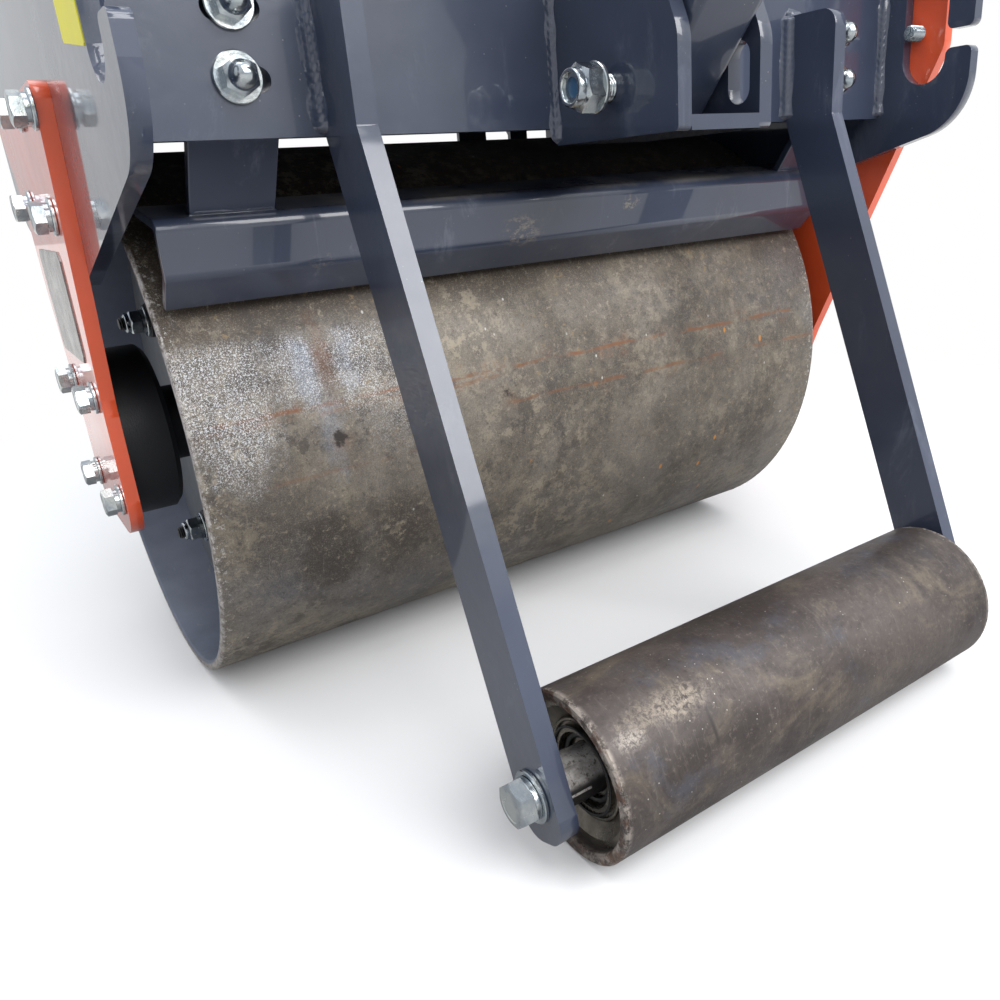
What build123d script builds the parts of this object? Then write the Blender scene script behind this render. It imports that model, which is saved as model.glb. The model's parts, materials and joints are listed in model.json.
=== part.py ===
"""Walk-behind vibratory roller: one steel drum in a plate frame, a small support
roller on two trailing arms, and a drawbar handle on the operator's side.

Millimetres. The model is laid out about the drum: X runs along the drum axis, the
operator stands on the -Y side, Z is up and Z = 0 is the ground. At the end every
piece is shifted so that the origin lies under the middle of the whole machine.
"""
import os
from math import cos, radians, sin, sqrt, tan

from build123d import *

os.makedirs("parts", exist_ok=True)

# Drum
DRUM_R = 203.2
DRUM_HALF = 289.0
DRUM_WALL = 8.0
DRUM_EDGE = 1.5
WEB_T = 10.0
WEB_RECESS = 50.0
EXCITER_R = 78.0
STUB_R = 30.0
RUNNING_FIT = 0.5

# Side plates of the frame
SIDE_GAP = 9.0
SIDE_T = 9.5
FRAME_TOP = 530.0
FRAME_REAR = -332.0
FRAME_FRONT = 240.0
BELLY_Z = 321.0
BELLY_HALF = 70.0
BELLY_SLOPE = 14.7
CORNER_R = 45.0
SHOULDER_R = 20.0
HOOK_Y = -292.0
HOOK_W = 37.0
HOOK_BOTTOM = 419.5
HOOK_TOP = 504.0
MOUTH_LOW = 443.0
MOUTH_HIGH = 456.0
LIP_R = 5.0

# Cross plates and deck
CROSS_T = 9.5
REAR_CROSS_Y = -252.0
REAR_CROSS_LOW = 398.0
FRONT_CROSS_LOW = 434.0
CROSS_SLOT_X = DRUM_HALF - 55.0
CROSS_SLOT_ROWS = (426.0, 459.0)
CROSS_SLOT_L = 30.0
CROSS_SLOT_W = 13.0
DECK_T = 9.5

# Support roller and its arms
ROLLER_R = 52.0
ROLLER_HALF = 170.4
ROLLER_WALL = 7.0
ROLLER_Y = -411.0
ARM_IN = 182.0
ARM_T = 12.0
ARM_W = 41.0
ARM_LEAN = 21.5
ARM_TOP = 470.0
ARM_DEPTH = 44.0
ARM_TAIL = 28.0
ARM_END_R = 16.0
ARM_TOP_R = 12.0
HOUSING_RECESS = 7.0
HOUSING_T = 22.0
AXLE_R = 15.0
AXLE_HEX = 27.0
AXLE_HEX_GAP = 2.0
ROLLER_BOLT_R = 8.0
BOLT_HEX = 24.0
BOLT_HEAD = 10.0
WASHER_R = 15.0
WASHER_T = 3.0
BOLT_FIT = 0.3

# Hubs and the plates that carry the drum
HUB_R = 66.0
HUB_END = 17.0
HUB_EDGE = 4.0
CARRIER_T = 9.5
CARRIER_HALF = 68.0
CARRIER_LOW = 70.0
CARRIER_TOP = 441.0
CARRIER_TOP_HALF = 133.0
CARRIER_R = 34.0
CARRIER_WAIST_HALF = 88.0
CARRIER_WAIST_LOW = 310.0
CARRIER_WAIST_HIGH = 378.0
PANEL_REAR = -303.0
PANEL_FRONT = 236.0
PANEL_TOP = 512.0
PANEL_SHOULDER = 446.0
PANEL_DROP = 130.0
PANEL_WAIST_HALF = 187.0
PANEL_WAIST_Z = 212.0
PANEL_LOW_HALF = 152.0
PANEL_LOW = 74.0
PANEL_LOW_R = 60.0
MOTOR_R = 104.0
MOTOR_DEPTH = 46.0
MOTOR_EDGE = 14.0

# Scrapers: the points of the fold line, each by its gap to the drum and its angle above
# the drum's axle
SCRAPER_POINTS = ((25.06, 45.50), (53.68, 37.06), (35.73, 32.05), (10.56, 30.60))
SCRAPER_FOLD = tuple(
    (-(DRUM_R + gap) * cos(radians(rise)), DRUM_R + (DRUM_R + gap) * sin(radians(rise)))
    for gap, rise in SCRAPER_POINTS
)
SCRAPER_T = 6.0
SCRAPER_FOLD_R = 5.0
SCRAPER_HALF = DRUM_HALF - 6.0
POST_T = 6.0
POST_INSET = 8.9915
POST_SLOPE = 0.75
POST_TOP = 478.0
POST_GAP = 0.2
POST_FOLD_R = 8.0
SCRAPERS = (
    # name, direction of Y, middle of each post along X, width of the posts
    ("rear", 1, (52.0 - DRUM_HALF, DRUM_HALF - 31.0), 50.0),
    ("front", -1, (145.5 - DRUM_HALF, DRUM_HALF - 145.5), 35.0),
)

# Handle bracket on the rear cross plate
BRACKET_IN = 27.0
BRACKET_T = 10.0
BRACKET_RIM = -366.0
BRACKET_FLOOR = 396.0
BRACKET_FLOOR_T = 8.0
BRACKET_TOP = 496.0
BRACKET_LEAN_Z = 438.0
BRACKET_SLOT_Y = -349.5
BRACKET_SLOT_Z = 419.0
BRACKET_SLOT_W = 17.0
BRACKET_SLOT_H = 34.0
PIVOT_Y = -306.0
PIVOT_Z = 416.0
PIVOT_R = 8.0
PIVOT_FIT = 0.3

# Handle
HANDLE_ANGLE = 48.0
BAR_W = 50.0
BAR_WALL = 4.0
BAR_HEEL = 15.0
BAR_LENGTH = 430.0
HEEL_GAP = 0.3
HOOP_R = 15.0
HOOP_WALL = 2.5
HOOP_HALF = 235.0
HOOP_NECK = 300.0
HOOP_SHOULDER = 430.0
HOOP_FLARE = 90.0
HOOP_END = 700.0
WELD_GAP = 0.2
HOOP_BEND = 70.0
GRIP_R = 19.5
GRIP_LENGTH = 125.0
GRIP_GAP = 0.3
GRIP_INSET = 4.0
CONSOLE_L = 120.0
CONSOLE_W = 150.0
CONSOLE_H = 56.0
CONSOLE_AT = 375.0
LEVER_R = 6.0
LEVER_LENGTH = 135.0
LEVER_TILT = 55.0
KNOB_R = 17.0

# Engine on the deck
ENGINE_Y = -60.0
ENGINE_FOOT = 14.0
CRANK_RISE = 112.0
CASE_HALF = 84.0
CASE_REAR = 92.0
CASE_TOP = 206.0
FIN_T = 3.0
FIN_PITCH = 8.0
FIN_COUNT = 8
FIN_W = 128.0
FIN_H = 106.0
CYLINDER_LEAN = 15.0
CYLINDER_START = 74.0
HEAD_T = 24.0
PORT_RISE = 8.0
PORT_R = 18.0
PORT_DROP = 60.0
SHROUD_R = 100.0
SHROUD_DEPTH = 62.0
RECOIL_R = 84.0
RECOIL_DEPTH = 26.0
TANK_X = 236.0
TANK_Y = 176.0
TANK_Z = 96.0
TANK_R = 26.0
TANK_RISE = 214.0
CAP_R = 30.0
CAP_H = 22.0
CLEANER_X = 104.0
CLEANER_Y = 118.0
CLEANER_Z = 112.0
MUFFLER_X = 118.0
MUFFLER_Y = 104.0
MUFFLER_Z = 92.0
PIPE_R = 13.0
PUMP_R = 52.0
PUMP_L = 74.0

# Lifting bow over the engine
BOW_HALF = 262.0
BOW_Y = 66.0
BOW_TOP = 882.0
BOW_W = 50.0
BOW_T = 12.0
BOW_BEND = 90.0
EYE_R = 22.0
EYE_LUG_R = 42.0

# Water tank and sprinkler in front
SHELF_Z = 446.0
SHELF_T = 8.0
SHELF_HALF = 214.0
WATER_DEPTH = 112.0
WATER_HALF = 226.0
WATER_TOP = 668.0
WATER_R = 30.0
WATER_GAP = 0.3
WATER_DENT_X = 110.0
WATER_DENT_L = 130.0
WATER_DENT_W = 34.0
FILLER_X = 120.0
FILLER_R = 38.0
FILLER_H = 26.0
PIPE_Y = 206.0
PIPE_GAP = 59.8887
SPRAY_R = 11.0
SPRAY_HALF = 262.0
HANGER_W = 24.0
HANGER_T = 6.0
HANGER_X = 232.0

# Places that follow from the sizes above
SIDE_IN = DRUM_HALF + SIDE_GAP
SIDE_OUT = SIDE_IN + SIDE_T
CARRIER_OUT = SIDE_OUT + CARRIER_T
DECK_Z = FRAME_TOP
CRANK_Z = DECK_Z + CRANK_RISE
REAR_CROSS_IN = REAR_CROSS_Y + CROSS_T
FRONT_CROSS_Y = FRAME_FRONT - CROSS_T
WEB_OUT = DRUM_HALF - WEB_RECESS
WEB_IN = WEB_OUT - WEB_T
HUB_IN = DRUM_HALF - HUB_END
PIPE_Z = DRUM_R + sqrt((DRUM_R + PIPE_GAP + SPRAY_R) ** 2 - PIPE_Y**2)
SIDES = (("left", -1), ("right", 1))


def yz(x):
    """Plane square to the drum axis at x; its local axes are Y and Z."""
    return Plane.YZ.offset(x)


def span(sign, near, far):
    """Lower X of the stretch from near to far on the left (-1) or right (+1)."""
    return min(sign * near, sign * far)


finished = []

# Side plates: sloped belly, rounded rear heel, and a hook slot open to the rear
belly_rise = tan(radians(BELLY_SLOPE))
heel_z = BELLY_Z + (-FRAME_REAR - BELLY_HALF) * belly_rise
toe_z = BELLY_Z + (FRAME_FRONT - BELLY_HALF) * belly_rise
for side, sign in SIDES:
    with BuildPart() as side_plate:
        with BuildSketch(yz(span(sign, SIDE_IN, SIDE_OUT))) as outline:
            with BuildLine():
                FilletPolyline(
                    (FRAME_REAR, FRAME_TOP),
                    (FRAME_REAR, heel_z),
                    (-BELLY_HALF, BELLY_Z),
                    (BELLY_HALF, BELLY_Z),
                    (FRAME_FRONT, toe_z),
                    (FRAME_FRONT, FRAME_TOP),
                    radius=[SHOULDER_R, CORNER_R, 30, 30, CORNER_R, SHOULDER_R],
                    close=True,
                )
            make_face()
            hook_length = HOOK_TOP - HOOK_BOTTOM
            with Locations((HOOK_Y, (HOOK_TOP + HOOK_BOTTOM) / 2)):
                SlotOverall(hook_length, HOOK_W, rotation=90, mode=Mode.SUBTRACT)
            mouth = HOOK_Y - FRAME_REAR
            with Locations((FRAME_REAR + mouth / 2, (MOUTH_LOW + MOUTH_HIGH) / 2)):
                Rectangle(mouth, MOUTH_HIGH - MOUTH_LOW, mode=Mode.SUBTRACT)
            lips = [
                v for v in outline.vertices()
                if MOUTH_LOW - 0.1 < v.Y < MOUTH_HIGH + 0.1 and v.X < HOOK_Y
            ]
            fillet(lips, radius=LIP_R)
        extrude(amount=SIDE_T)
    side_plate.part.label = f"side_plate_{side}"
    finished.append(side_plate.part)

# Cross plates and the deck between the side plates
with BuildPart() as rear_cross_plate:
    with BuildSketch(Plane.XZ.offset(-REAR_CROSS_IN)):
        with Locations((0, (REAR_CROSS_LOW + FRAME_TOP) / 2)):
            Rectangle(2 * SIDE_IN, FRAME_TOP - REAR_CROSS_LOW)
        for slot_z in CROSS_SLOT_ROWS:
            with Locations((-CROSS_SLOT_X, slot_z), (CROSS_SLOT_X, slot_z)):
                SlotOverall(CROSS_SLOT_L, CROSS_SLOT_W, mode=Mode.SUBTRACT)
    extrude(amount=CROSS_T)
rear_cross_plate.part.label = "rear_cross_plate"
finished.append(rear_cross_plate.part)

with BuildPart() as front_cross_plate:
    with BuildSketch(Plane.XZ.offset(-FRAME_FRONT)):
        with Locations((0, (FRONT_CROSS_LOW + FRAME_TOP) / 2)):
            Rectangle(2 * SIDE_IN, FRAME_TOP - FRONT_CROSS_LOW)
    extrude(amount=CROSS_T)
front_cross_plate.part.label = "front_cross_plate"
finished.append(front_cross_plate.part)

with BuildPart() as engine_deck:
    with BuildSketch(Plane.XY.offset(FRAME_TOP - DECK_T)):
        with Locations((0, (REAR_CROSS_IN + FRONT_CROSS_Y) / 2)):
            Rectangle(2 * SIDE_IN, FRONT_CROSS_Y - REAR_CROSS_IN)
    extrude(amount=DECK_T)
engine_deck.part.label = "engine_deck"
finished.append(engine_deck.part)

# Trailing arms: a short upright foot on the cross plate, then a straight lean
lean = tan(radians(ARM_LEAN))
arm_half = ARM_W / 2 / cos(radians(ARM_LEAN))
arm_front = REAR_CROSS_Y - ARM_DEPTH
kink_z = ROLLER_R + (-arm_front + ROLLER_Y - arm_half) / -lean
back_z = ROLLER_R + (-REAR_CROSS_Y + ROLLER_Y + arm_half) / -lean
down = Vector(-sin(radians(ARM_LEAN)), -cos(radians(ARM_LEAN)))
across = Vector(cos(radians(ARM_LEAN)), -sin(radians(ARM_LEAN)))
end_mid = Vector(ROLLER_Y, ROLLER_R) + down * ARM_TAIL
end_rear = end_mid - across * (ARM_W / 2)
end_front = end_mid + across * (ARM_W / 2)
for side, sign in SIDES:
    with BuildPart() as arm:
        with BuildSketch(yz(span(sign, ARM_IN, ARM_IN + ARM_T))):
            with BuildLine():
                FilletPolyline(
                    (REAR_CROSS_Y, ARM_TOP),
                    (arm_front, ARM_TOP),
                    (arm_front, kink_z),
                    (end_rear.X, end_rear.Y),
                    (end_front.X, end_front.Y),
                    (REAR_CROSS_Y, back_z),
                    radius=[0, ARM_TOP_R, 2, ARM_END_R, ARM_END_R, 2],
                    close=True,
                )
            make_face()
            with Locations((ROLLER_Y, ROLLER_R)):
                Circle(ROLLER_BOLT_R + BOLT_FIT, mode=Mode.SUBTRACT)
        extrude(amount=ARM_T)
    arm.part.label = f"arm_{side}"
    finished.append(arm.part)

# Support roller: tube, two recessed bearing housings, fixed axle with hexagon ends
with BuildPart() as roller_tube:
    with BuildSketch(yz(-ROLLER_HALF)):
        with Locations((ROLLER_Y, ROLLER_R)):
            Circle(ROLLER_R)
            Circle(ROLLER_R - ROLLER_WALL, mode=Mode.SUBTRACT)
    extrude(amount=2 * ROLLER_HALF)
    rims = roller_tube.faces().filter_by(Axis.X).edges()
    chamfer(rims, length=1.2)
roller_tube.part.label = "roller_tube"
finished.append(roller_tube.part)

roller_axis = Axis((0, ROLLER_Y, ROLLER_R), (1, 0, 0))
housing_out = ROLLER_HALF - HOUSING_RECESS
for side, sign in SIDES:
    with BuildPart() as housing:
        with BuildSketch(Plane(origin=roller_axis.position)):
            with BuildLine():
                Polyline(
                    (housing_out - HOUSING_T, AXLE_R + RUNNING_FIT),
                    (housing_out - HOUSING_T, ROLLER_R - ROLLER_WALL),
                    (housing_out, ROLLER_R - ROLLER_WALL),
                    (housing_out, ROLLER_R - ROLLER_WALL - 5),
                    (housing_out - 6, 31),
                    (housing_out - 6, 27),
                    (housing_out - 3, 27),
                    (housing_out - 3, 23),
                    (housing_out - 9, 23),
                    (housing_out - 9, AXLE_R + RUNNING_FIT),
                    close=True,
                )
            make_face()
            if sign < 0:
                mirror(about=Plane.YZ, mode=Mode.REPLACE)
        revolve(axis=roller_axis)
    housing.part.label = f"roller_housing_{side}"
    finished.append(housing.part)

with BuildPart() as roller_axle:
    hex_in = housing_out + AXLE_HEX_GAP
    with BuildSketch(yz(-ARM_IN)):
        with Locations((ROLLER_Y, ROLLER_R)):
            Circle(AXLE_R)
    extrude(amount=2 * ARM_IN)
    for side, sign in SIDES:
        with BuildSketch(yz(span(sign, hex_in, ARM_IN))):
            with Locations((ROLLER_Y, ROLLER_R)):
                RegularPolygon(AXLE_HEX / 2, 6, major_radius=False)
        extrude(amount=ARM_IN - hex_in)
        with BuildSketch(yz(span(sign, ARM_IN - 24, ARM_IN))):
            with Locations((ROLLER_Y, ROLLER_R)):
                Circle(ROLLER_BOLT_R + BOLT_FIT)
        extrude(amount=24, mode=Mode.SUBTRACT)
roller_axle.part.label = "roller_axle"
finished.append(roller_axle.part)

for side, sign in SIDES:
    arm_out = ARM_IN + ARM_T
    with BuildPart() as roller_bolt:
        with BuildSketch(yz(span(sign, ARM_IN - 22, arm_out))):
            with Locations((ROLLER_Y, ROLLER_R)):
                Circle(ROLLER_BOLT_R)
        extrude(amount=arm_out - ARM_IN + 22)
        with BuildSketch(yz(span(sign, arm_out, arm_out + WASHER_T))):
            with Locations((ROLLER_Y, ROLLER_R)):
                Circle(WASHER_R)
        extrude(amount=WASHER_T)
        head_at = arm_out + WASHER_T
        with BuildSketch(yz(span(sign, head_at, head_at + BOLT_HEAD))):
            with Locations((ROLLER_Y, ROLLER_R)):
                RegularPolygon(BOLT_HEX / 2, 6, major_radius=False, rotation=12)
        extrude(amount=BOLT_HEAD)
    roller_bolt.part.label = f"roller_bolt_{side}"
    finished.append(roller_bolt.part)

# Drum: rolled shell, recessed webs, exciter tube with stub shafts
with BuildPart() as drum_shell:
    with BuildSketch(yz(-DRUM_HALF)):
        with Locations((0, DRUM_R)):
            Circle(DRUM_R)
            Circle(DRUM_R - DRUM_WALL, mode=Mode.SUBTRACT)
    extrude(amount=2 * DRUM_HALF)
    chamfer(drum_shell.faces().filter_by(Axis.X).edges(), length=DRUM_EDGE)
drum_shell.part.label = "drum_shell"
finished.append(drum_shell.part)

for side, sign in SIDES:
    with BuildPart() as drum_web:
        with BuildSketch(yz(span(sign, WEB_IN, WEB_OUT))):
            with Locations((0, DRUM_R)):
                Circle(DRUM_R - DRUM_WALL)
                Circle(STUB_R, mode=Mode.SUBTRACT)
        extrude(amount=WEB_T)
    drum_web.part.label = f"drum_web_{side}"
    finished.append(drum_web.part)

stub_end = SIDE_IN - RUNNING_FIT * 2
with BuildPart() as exciter_tube:
    with BuildSketch(yz(-WEB_IN)):
        with Locations((0, DRUM_R)):
            Circle(EXCITER_R)
    extrude(amount=2 * WEB_IN)
    with BuildSketch(yz(-stub_end)):
        with Locations((0, DRUM_R)):
            Circle(STUB_R)
    extrude(amount=2 * stub_end)
exciter_tube.part.label = "exciter_tube"
finished.append(exciter_tube.part)

# Hubs: round bearing housings bolted to the carrier plates
for side, sign in SIDES:
    with BuildPart() as hub:
        with BuildSketch(yz(span(sign, HUB_IN, SIDE_OUT))):
            with Locations((0, DRUM_R)):
                Circle(HUB_R)
        extrude(amount=SIDE_OUT - HUB_IN)
        inner_rim = hub.faces().filter_by(Axis.X).sort_by(Axis.X)[0 if sign > 0 else -1]
        chamfer(inner_rim.edges(), length=HUB_EDGE)
        with BuildSketch(yz(span(sign, HUB_IN, stub_end + RUNNING_FIT))):
            with Locations((0, DRUM_R)):
                Circle(STUB_R + RUNNING_FIT)
        extrude(amount=stub_end + RUNNING_FIT - HUB_IN, mode=Mode.SUBTRACT)
    hub.part.label = f"hub_{side}"
    finished.append(hub.part)

# Left carrier plate
with BuildPart() as carrier_left:
    with BuildSketch(yz(-CARRIER_OUT)):
        with BuildLine():
            FilletPolyline(
                (-CARRIER_TOP_HALF, CARRIER_TOP),
                (-CARRIER_HALF - 6, DRUM_R + 34),
                (-CARRIER_HALF, DRUM_R - CARRIER_LOW),
                (CARRIER_HALF, DRUM_R - CARRIER_LOW),
                (CARRIER_HALF, DRUM_R + 30),
                (CARRIER_WAIST_HALF, CARRIER_WAIST_LOW),
                (CARRIER_WAIST_HALF, CARRIER_WAIST_HIGH),
                (CARRIER_TOP_HALF, CARRIER_TOP),
                radius=[8, 60, CARRIER_R, CARRIER_R, 40, 40, 40, 8],
                close=True,
            )
        make_face()
    extrude(amount=CARRIER_T)
carrier_left.part.label = "carrier_left"
finished.append(carrier_left.part)

# Right carrier panel, on the drive side, with the round motor cover on it
with BuildPart() as carrier_right:
    with BuildSketch(yz(SIDE_OUT)):
        with BuildLine():
            FilletPolyline(
                (PANEL_REAR, PANEL_TOP),
                (PANEL_REAR, PANEL_SHOULDER),
                (-PANEL_WAIST_HALF, PANEL_WAIST_Z),
                (-PANEL_LOW_HALF, DRUM_R - PANEL_LOW),
                (PANEL_LOW_HALF, DRUM_R - PANEL_LOW),
                (PANEL_WAIST_HALF, PANEL_WAIST_Z),
                (PANEL_FRONT, PANEL_SHOULDER - PANEL_DROP),
                (PANEL_FRONT, PANEL_TOP),
                radius=[14, 18, 40, PANEL_LOW_R, PANEL_LOW_R, 40, 40, 14],
                close=True,
            )
        make_face()
    extrude(amount=CARRIER_T)
carrier_right.part.label = "carrier_right"
finished.append(carrier_right.part)

with BuildPart() as motor_cover:
    with BuildSketch(yz(CARRIER_OUT)):
        with Locations((0, DRUM_R + 10)):
            Circle(MOTOR_R)
    extrude(amount=MOTOR_DEPTH, taper=6)
    cover_rim = motor_cover.faces().filter_by(Axis.X).sort_by(Axis.X)[-1].edges()
    fillet(cover_rim, radius=MOTOR_EDGE)
motor_cover.part.label = "motor_cover"
finished.append(motor_cover.part)

# Scrapers: one folded bar each. The rear one hangs on two posts that slope up to the rear
# cross plate's inner face, the front one on two upright posts from the deck
(flange_in, flange_in_z), (flange_out, flange_out_z) = SCRAPER_FOLD[:2]
flange_fall = (flange_out_z - flange_in_z) / (flange_out - flange_in)
foot_y = flange_out + POST_INSET
foot_z = flange_in_z + flange_fall * (foot_y - flange_in)
tab_y = REAR_CROSS_IN + POST_GAP + POST_T / 2
bend_z = foot_z + (foot_y - tab_y) / POST_SLOPE
front_post_y = -flange_in + POST_T / 2 + 2
for name, turn, post_xs, post_w in SCRAPERS:
    with BuildPart() as scraper:
        with BuildSketch(yz(-SCRAPER_HALF)):
            with BuildLine():
                FilletPolyline(
                    *[(turn * y, z) for y, z in SCRAPER_FOLD],
                    radius=SCRAPER_FOLD_R,
                )
            trace(line_width=SCRAPER_T)
        extrude(amount=2 * SCRAPER_HALF)
        for post_x in post_xs:
            with BuildSketch(yz(post_x - post_w / 2)):
                with BuildLine():
                    if name == "rear":
                        FilletPolyline(
                            (foot_y, foot_z),
                            (tab_y, bend_z),
                            (tab_y, POST_TOP),
                            radius=POST_FOLD_R,
                        )
                    else:
                        Line((front_post_y, flange_in_z), (front_post_y, FRAME_TOP - DECK_T))
                trace(line_width=POST_T)
            extrude(amount=post_w)
    scraper.part.label = f"scraper_{name}"
    finished.append(scraper.part)

# Handle bracket: a channel with a floor and a slot in its right cheek
with BuildPart() as handle_bracket:
    for side, sign in SIDES:
        cheek = span(sign, BRACKET_IN, BRACKET_IN + BRACKET_T)
        with BuildSketch(yz(cheek)):
            with BuildLine():
                FilletPolyline(
                    (REAR_CROSS_Y, BRACKET_FLOOR - BRACKET_FLOOR_T),
                    (BRACKET_RIM, BRACKET_FLOOR - BRACKET_FLOOR_T),
                    (BRACKET_RIM, BRACKET_LEAN_Z),
                    (BRACKET_RIM + 26, BRACKET_TOP),
                    (REAR_CROSS_Y, BRACKET_TOP),
                    radius=[0, 3, 30, 24, 0],
                    close=True,
                )
            make_face()
            if side == "right":
                with Locations((BRACKET_SLOT_Y, BRACKET_SLOT_Z)):
                    SlotOverall(
                        BRACKET_SLOT_H,
                        BRACKET_SLOT_W,
                        rotation=90,
                        mode=Mode.SUBTRACT,
                    )
            with Locations((PIVOT_Y, PIVOT_Z)):
                Circle(PIVOT_R + PIVOT_FIT, mode=Mode.SUBTRACT)
        extrude(amount=BRACKET_T)
    with BuildSketch(Plane.XY.offset(BRACKET_FLOOR - BRACKET_FLOOR_T)):
        with Locations((0, (REAR_CROSS_Y + BRACKET_RIM) / 2)):
            Rectangle(2 * BRACKET_IN, REAR_CROSS_Y - BRACKET_RIM)
    extrude(amount=BRACKET_FLOOR_T)
handle_bracket.part.label = "handle_bracket"
finished.append(handle_bracket.part)

with BuildPart() as pivot_bolt:
    cheek_out = BRACKET_IN + BRACKET_T
    bolt_left = -cheek_out - WASHER_T - 22
    with BuildSketch(yz(bolt_left)):
        with Locations((PIVOT_Y, PIVOT_Z)):
            Circle(PIVOT_R)
    extrude(amount=cheek_out + WASHER_T - bolt_left)
    for side, sign in SIDES:
        with BuildSketch(yz(span(sign, cheek_out, cheek_out + WASHER_T))):
            with Locations((PIVOT_Y, PIVOT_Z)):
                Circle(WASHER_R)
        extrude(amount=WASHER_T)
        nut_at = cheek_out + WASHER_T
        nut_t = 16 if sign < 0 else BOLT_HEAD
        with BuildSketch(yz(span(sign, nut_at, nut_at + nut_t))):
            with Locations((PIVOT_Y, PIVOT_Z)):
                RegularPolygon(BOLT_HEX / 2, 6, major_radius=False)
        extrude(amount=nut_t)
pivot_bolt.part.label = "pivot_bolt"
finished.append(pivot_bolt.part)

# Handle, laid out along its own axis: s runs up the drawbar from the pivot, t is
# square to it on the upper side
pivot = Vector(0, PIVOT_Y, PIVOT_Z)
along = Vector(0, -cos(radians(HANDLE_ANGLE)), sin(radians(HANDLE_ANGLE)))
upper = Vector(0, sin(radians(HANDLE_ANGLE)), cos(radians(HANDLE_ANGLE)))


def bar_plane(s, t=0.0):
    """Plane square to the drawbar at s along it; its local Y is the upper side."""
    return Plane(origin=pivot + along * s + upper * t, x_dir=(1, 0, 0), z_dir=along)


def flat_plane(t=0.0):
    """Plane along the drawbar at height t; its local Y runs up the bar."""
    return Plane(origin=pivot + upper * t, x_dir=(1, 0, 0), z_dir=-upper)


with BuildPart() as drawbar:
    with BuildSketch(bar_plane(-BAR_HEEL)):
        RectangleRounded(BAR_W, BAR_W, 6)
        RectangleRounded(
            BAR_W - 2 * BAR_WALL, BAR_W - 2 * BAR_WALL, 2.5, mode=Mode.SUBTRACT
        )
    extrude(amount=BAR_LENGTH + BAR_HEEL)
    with BuildSketch(yz(-BAR_W)):
        with Locations((PIVOT_Y, PIVOT_Z)):
            Circle(PIVOT_R + PIVOT_FIT)
    extrude(amount=2 * BAR_W, mode=Mode.SUBTRACT)
    heel_low = BRACKET_FLOOR + HEEL_GAP
    split(bisect_by=Plane.XY.offset(heel_low), keep=Keep.TOP)
drawbar.part.label = "drawbar"
finished.append(drawbar.part)

with BuildPart() as handle_hoop:
    neck_x = BAR_W / 2 + HOOP_R + WELD_GAP
    with BuildLine(flat_plane()) as hoop_path:
        FilletPolyline(
            (-neck_x, HOOP_NECK),
            (-neck_x, HOOP_SHOULDER),
            (-HOOP_HALF, HOOP_SHOULDER + HOOP_FLARE),
            (-HOOP_HALF, HOOP_END),
            (HOOP_HALF, HOOP_END),
            (HOOP_HALF, HOOP_SHOULDER + HOOP_FLARE),
            (neck_x, HOOP_SHOULDER),
            (neck_x, HOOP_NECK),
            radius=[35, 50, HOOP_BEND, HOOP_BEND, 50, 35],
        )
    with BuildSketch(bar_plane(HOOP_NECK)):
        with Locations((-neck_x, 0)):
            Circle(HOOP_R)
            Circle(HOOP_R - HOOP_WALL, mode=Mode.SUBTRACT)
    sweep(path=hoop_path.wire())
handle_hoop.part.label = "handle_hoop"
finished.append(handle_hoop.part)

# Rubber grips on the cross bar of the hoop, with two raised end rings each
for side, sign in SIDES:
    grip_in = HOOP_HALF - HOOP_BEND - GRIP_LENGTH - GRIP_INSET
    with BuildPart() as grip:
        with BuildSketch(bar_plane(HOOP_END)) as section:
            with BuildLine():
                Polyline(
                    (grip_in, HOOP_R + GRIP_GAP),
                    (grip_in, GRIP_R + 3),
                    (grip_in + 6, GRIP_R + 3),
                    (grip_in + 12, GRIP_R),
                    (grip_in + GRIP_LENGTH - 12, GRIP_R),
                    (grip_in + GRIP_LENGTH - 6, GRIP_R + 3),
                    (grip_in + GRIP_LENGTH, GRIP_R + 3),
                    (grip_in + GRIP_LENGTH, HOOP_R + GRIP_GAP),
                    close=True,
                )
            make_face()
            if sign < 0:
                mirror(about=Plane.YZ, mode=Mode.REPLACE)
        grip_origin = pivot + along * HOOP_END
        revolve(axis=Axis(grip_origin, (1, 0, 0)))
    grip.part.label = f"grip_{side}"
    finished.append(grip.part)

# Control console on the upper face of the drawbar, with its two levers
with BuildPart() as console:
    console_t = BAR_W / 2
    with BuildSketch(flat_plane(console_t)):
        with Locations((0, CONSOLE_AT)):
            RectangleRounded(CONSOLE_W, CONSOLE_L, 14)
    extrude(amount=-CONSOLE_H, taper=7)
    top_face = console.faces().sort_by(Axis(pivot, upper))[-1]
    fillet(top_face.edges(), radius=8)
console.part.label = "console"
finished.append(console.part)

# Both levers lean from the console's top towards the operator
lean = upper * cos(radians(LEVER_TILT)) + along * sin(radians(LEVER_TILT))
for name, lever_x, lever_tip in (("drive", 38.0, 1.0), ("throttle", -38.0, 0.62)):
    with BuildPart() as lever:
        foot = BAR_W / 2 + CONSOLE_H
        with BuildSketch(flat_plane(foot)):
            with Locations((lever_x, CONSOLE_AT)):
                Circle(LEVER_R + 5)
        extrude(amount=-LEVER_R)
        root = flat_plane(foot + LEVER_R).from_local_coords(Vector(lever_x, CONSOLE_AT, 0))
        with BuildSketch(Plane(origin=root, x_dir=(1, 0, 0), z_dir=lean)):
            Circle(LEVER_R)
        extrude(amount=LEVER_LENGTH * lever_tip)
        with Locations(Plane(origin=root + lean * LEVER_LENGTH * lever_tip)):
            Sphere(KNOB_R)
    lever.part.label = f"{name}_lever"
    finished.append(lever.part)

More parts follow.
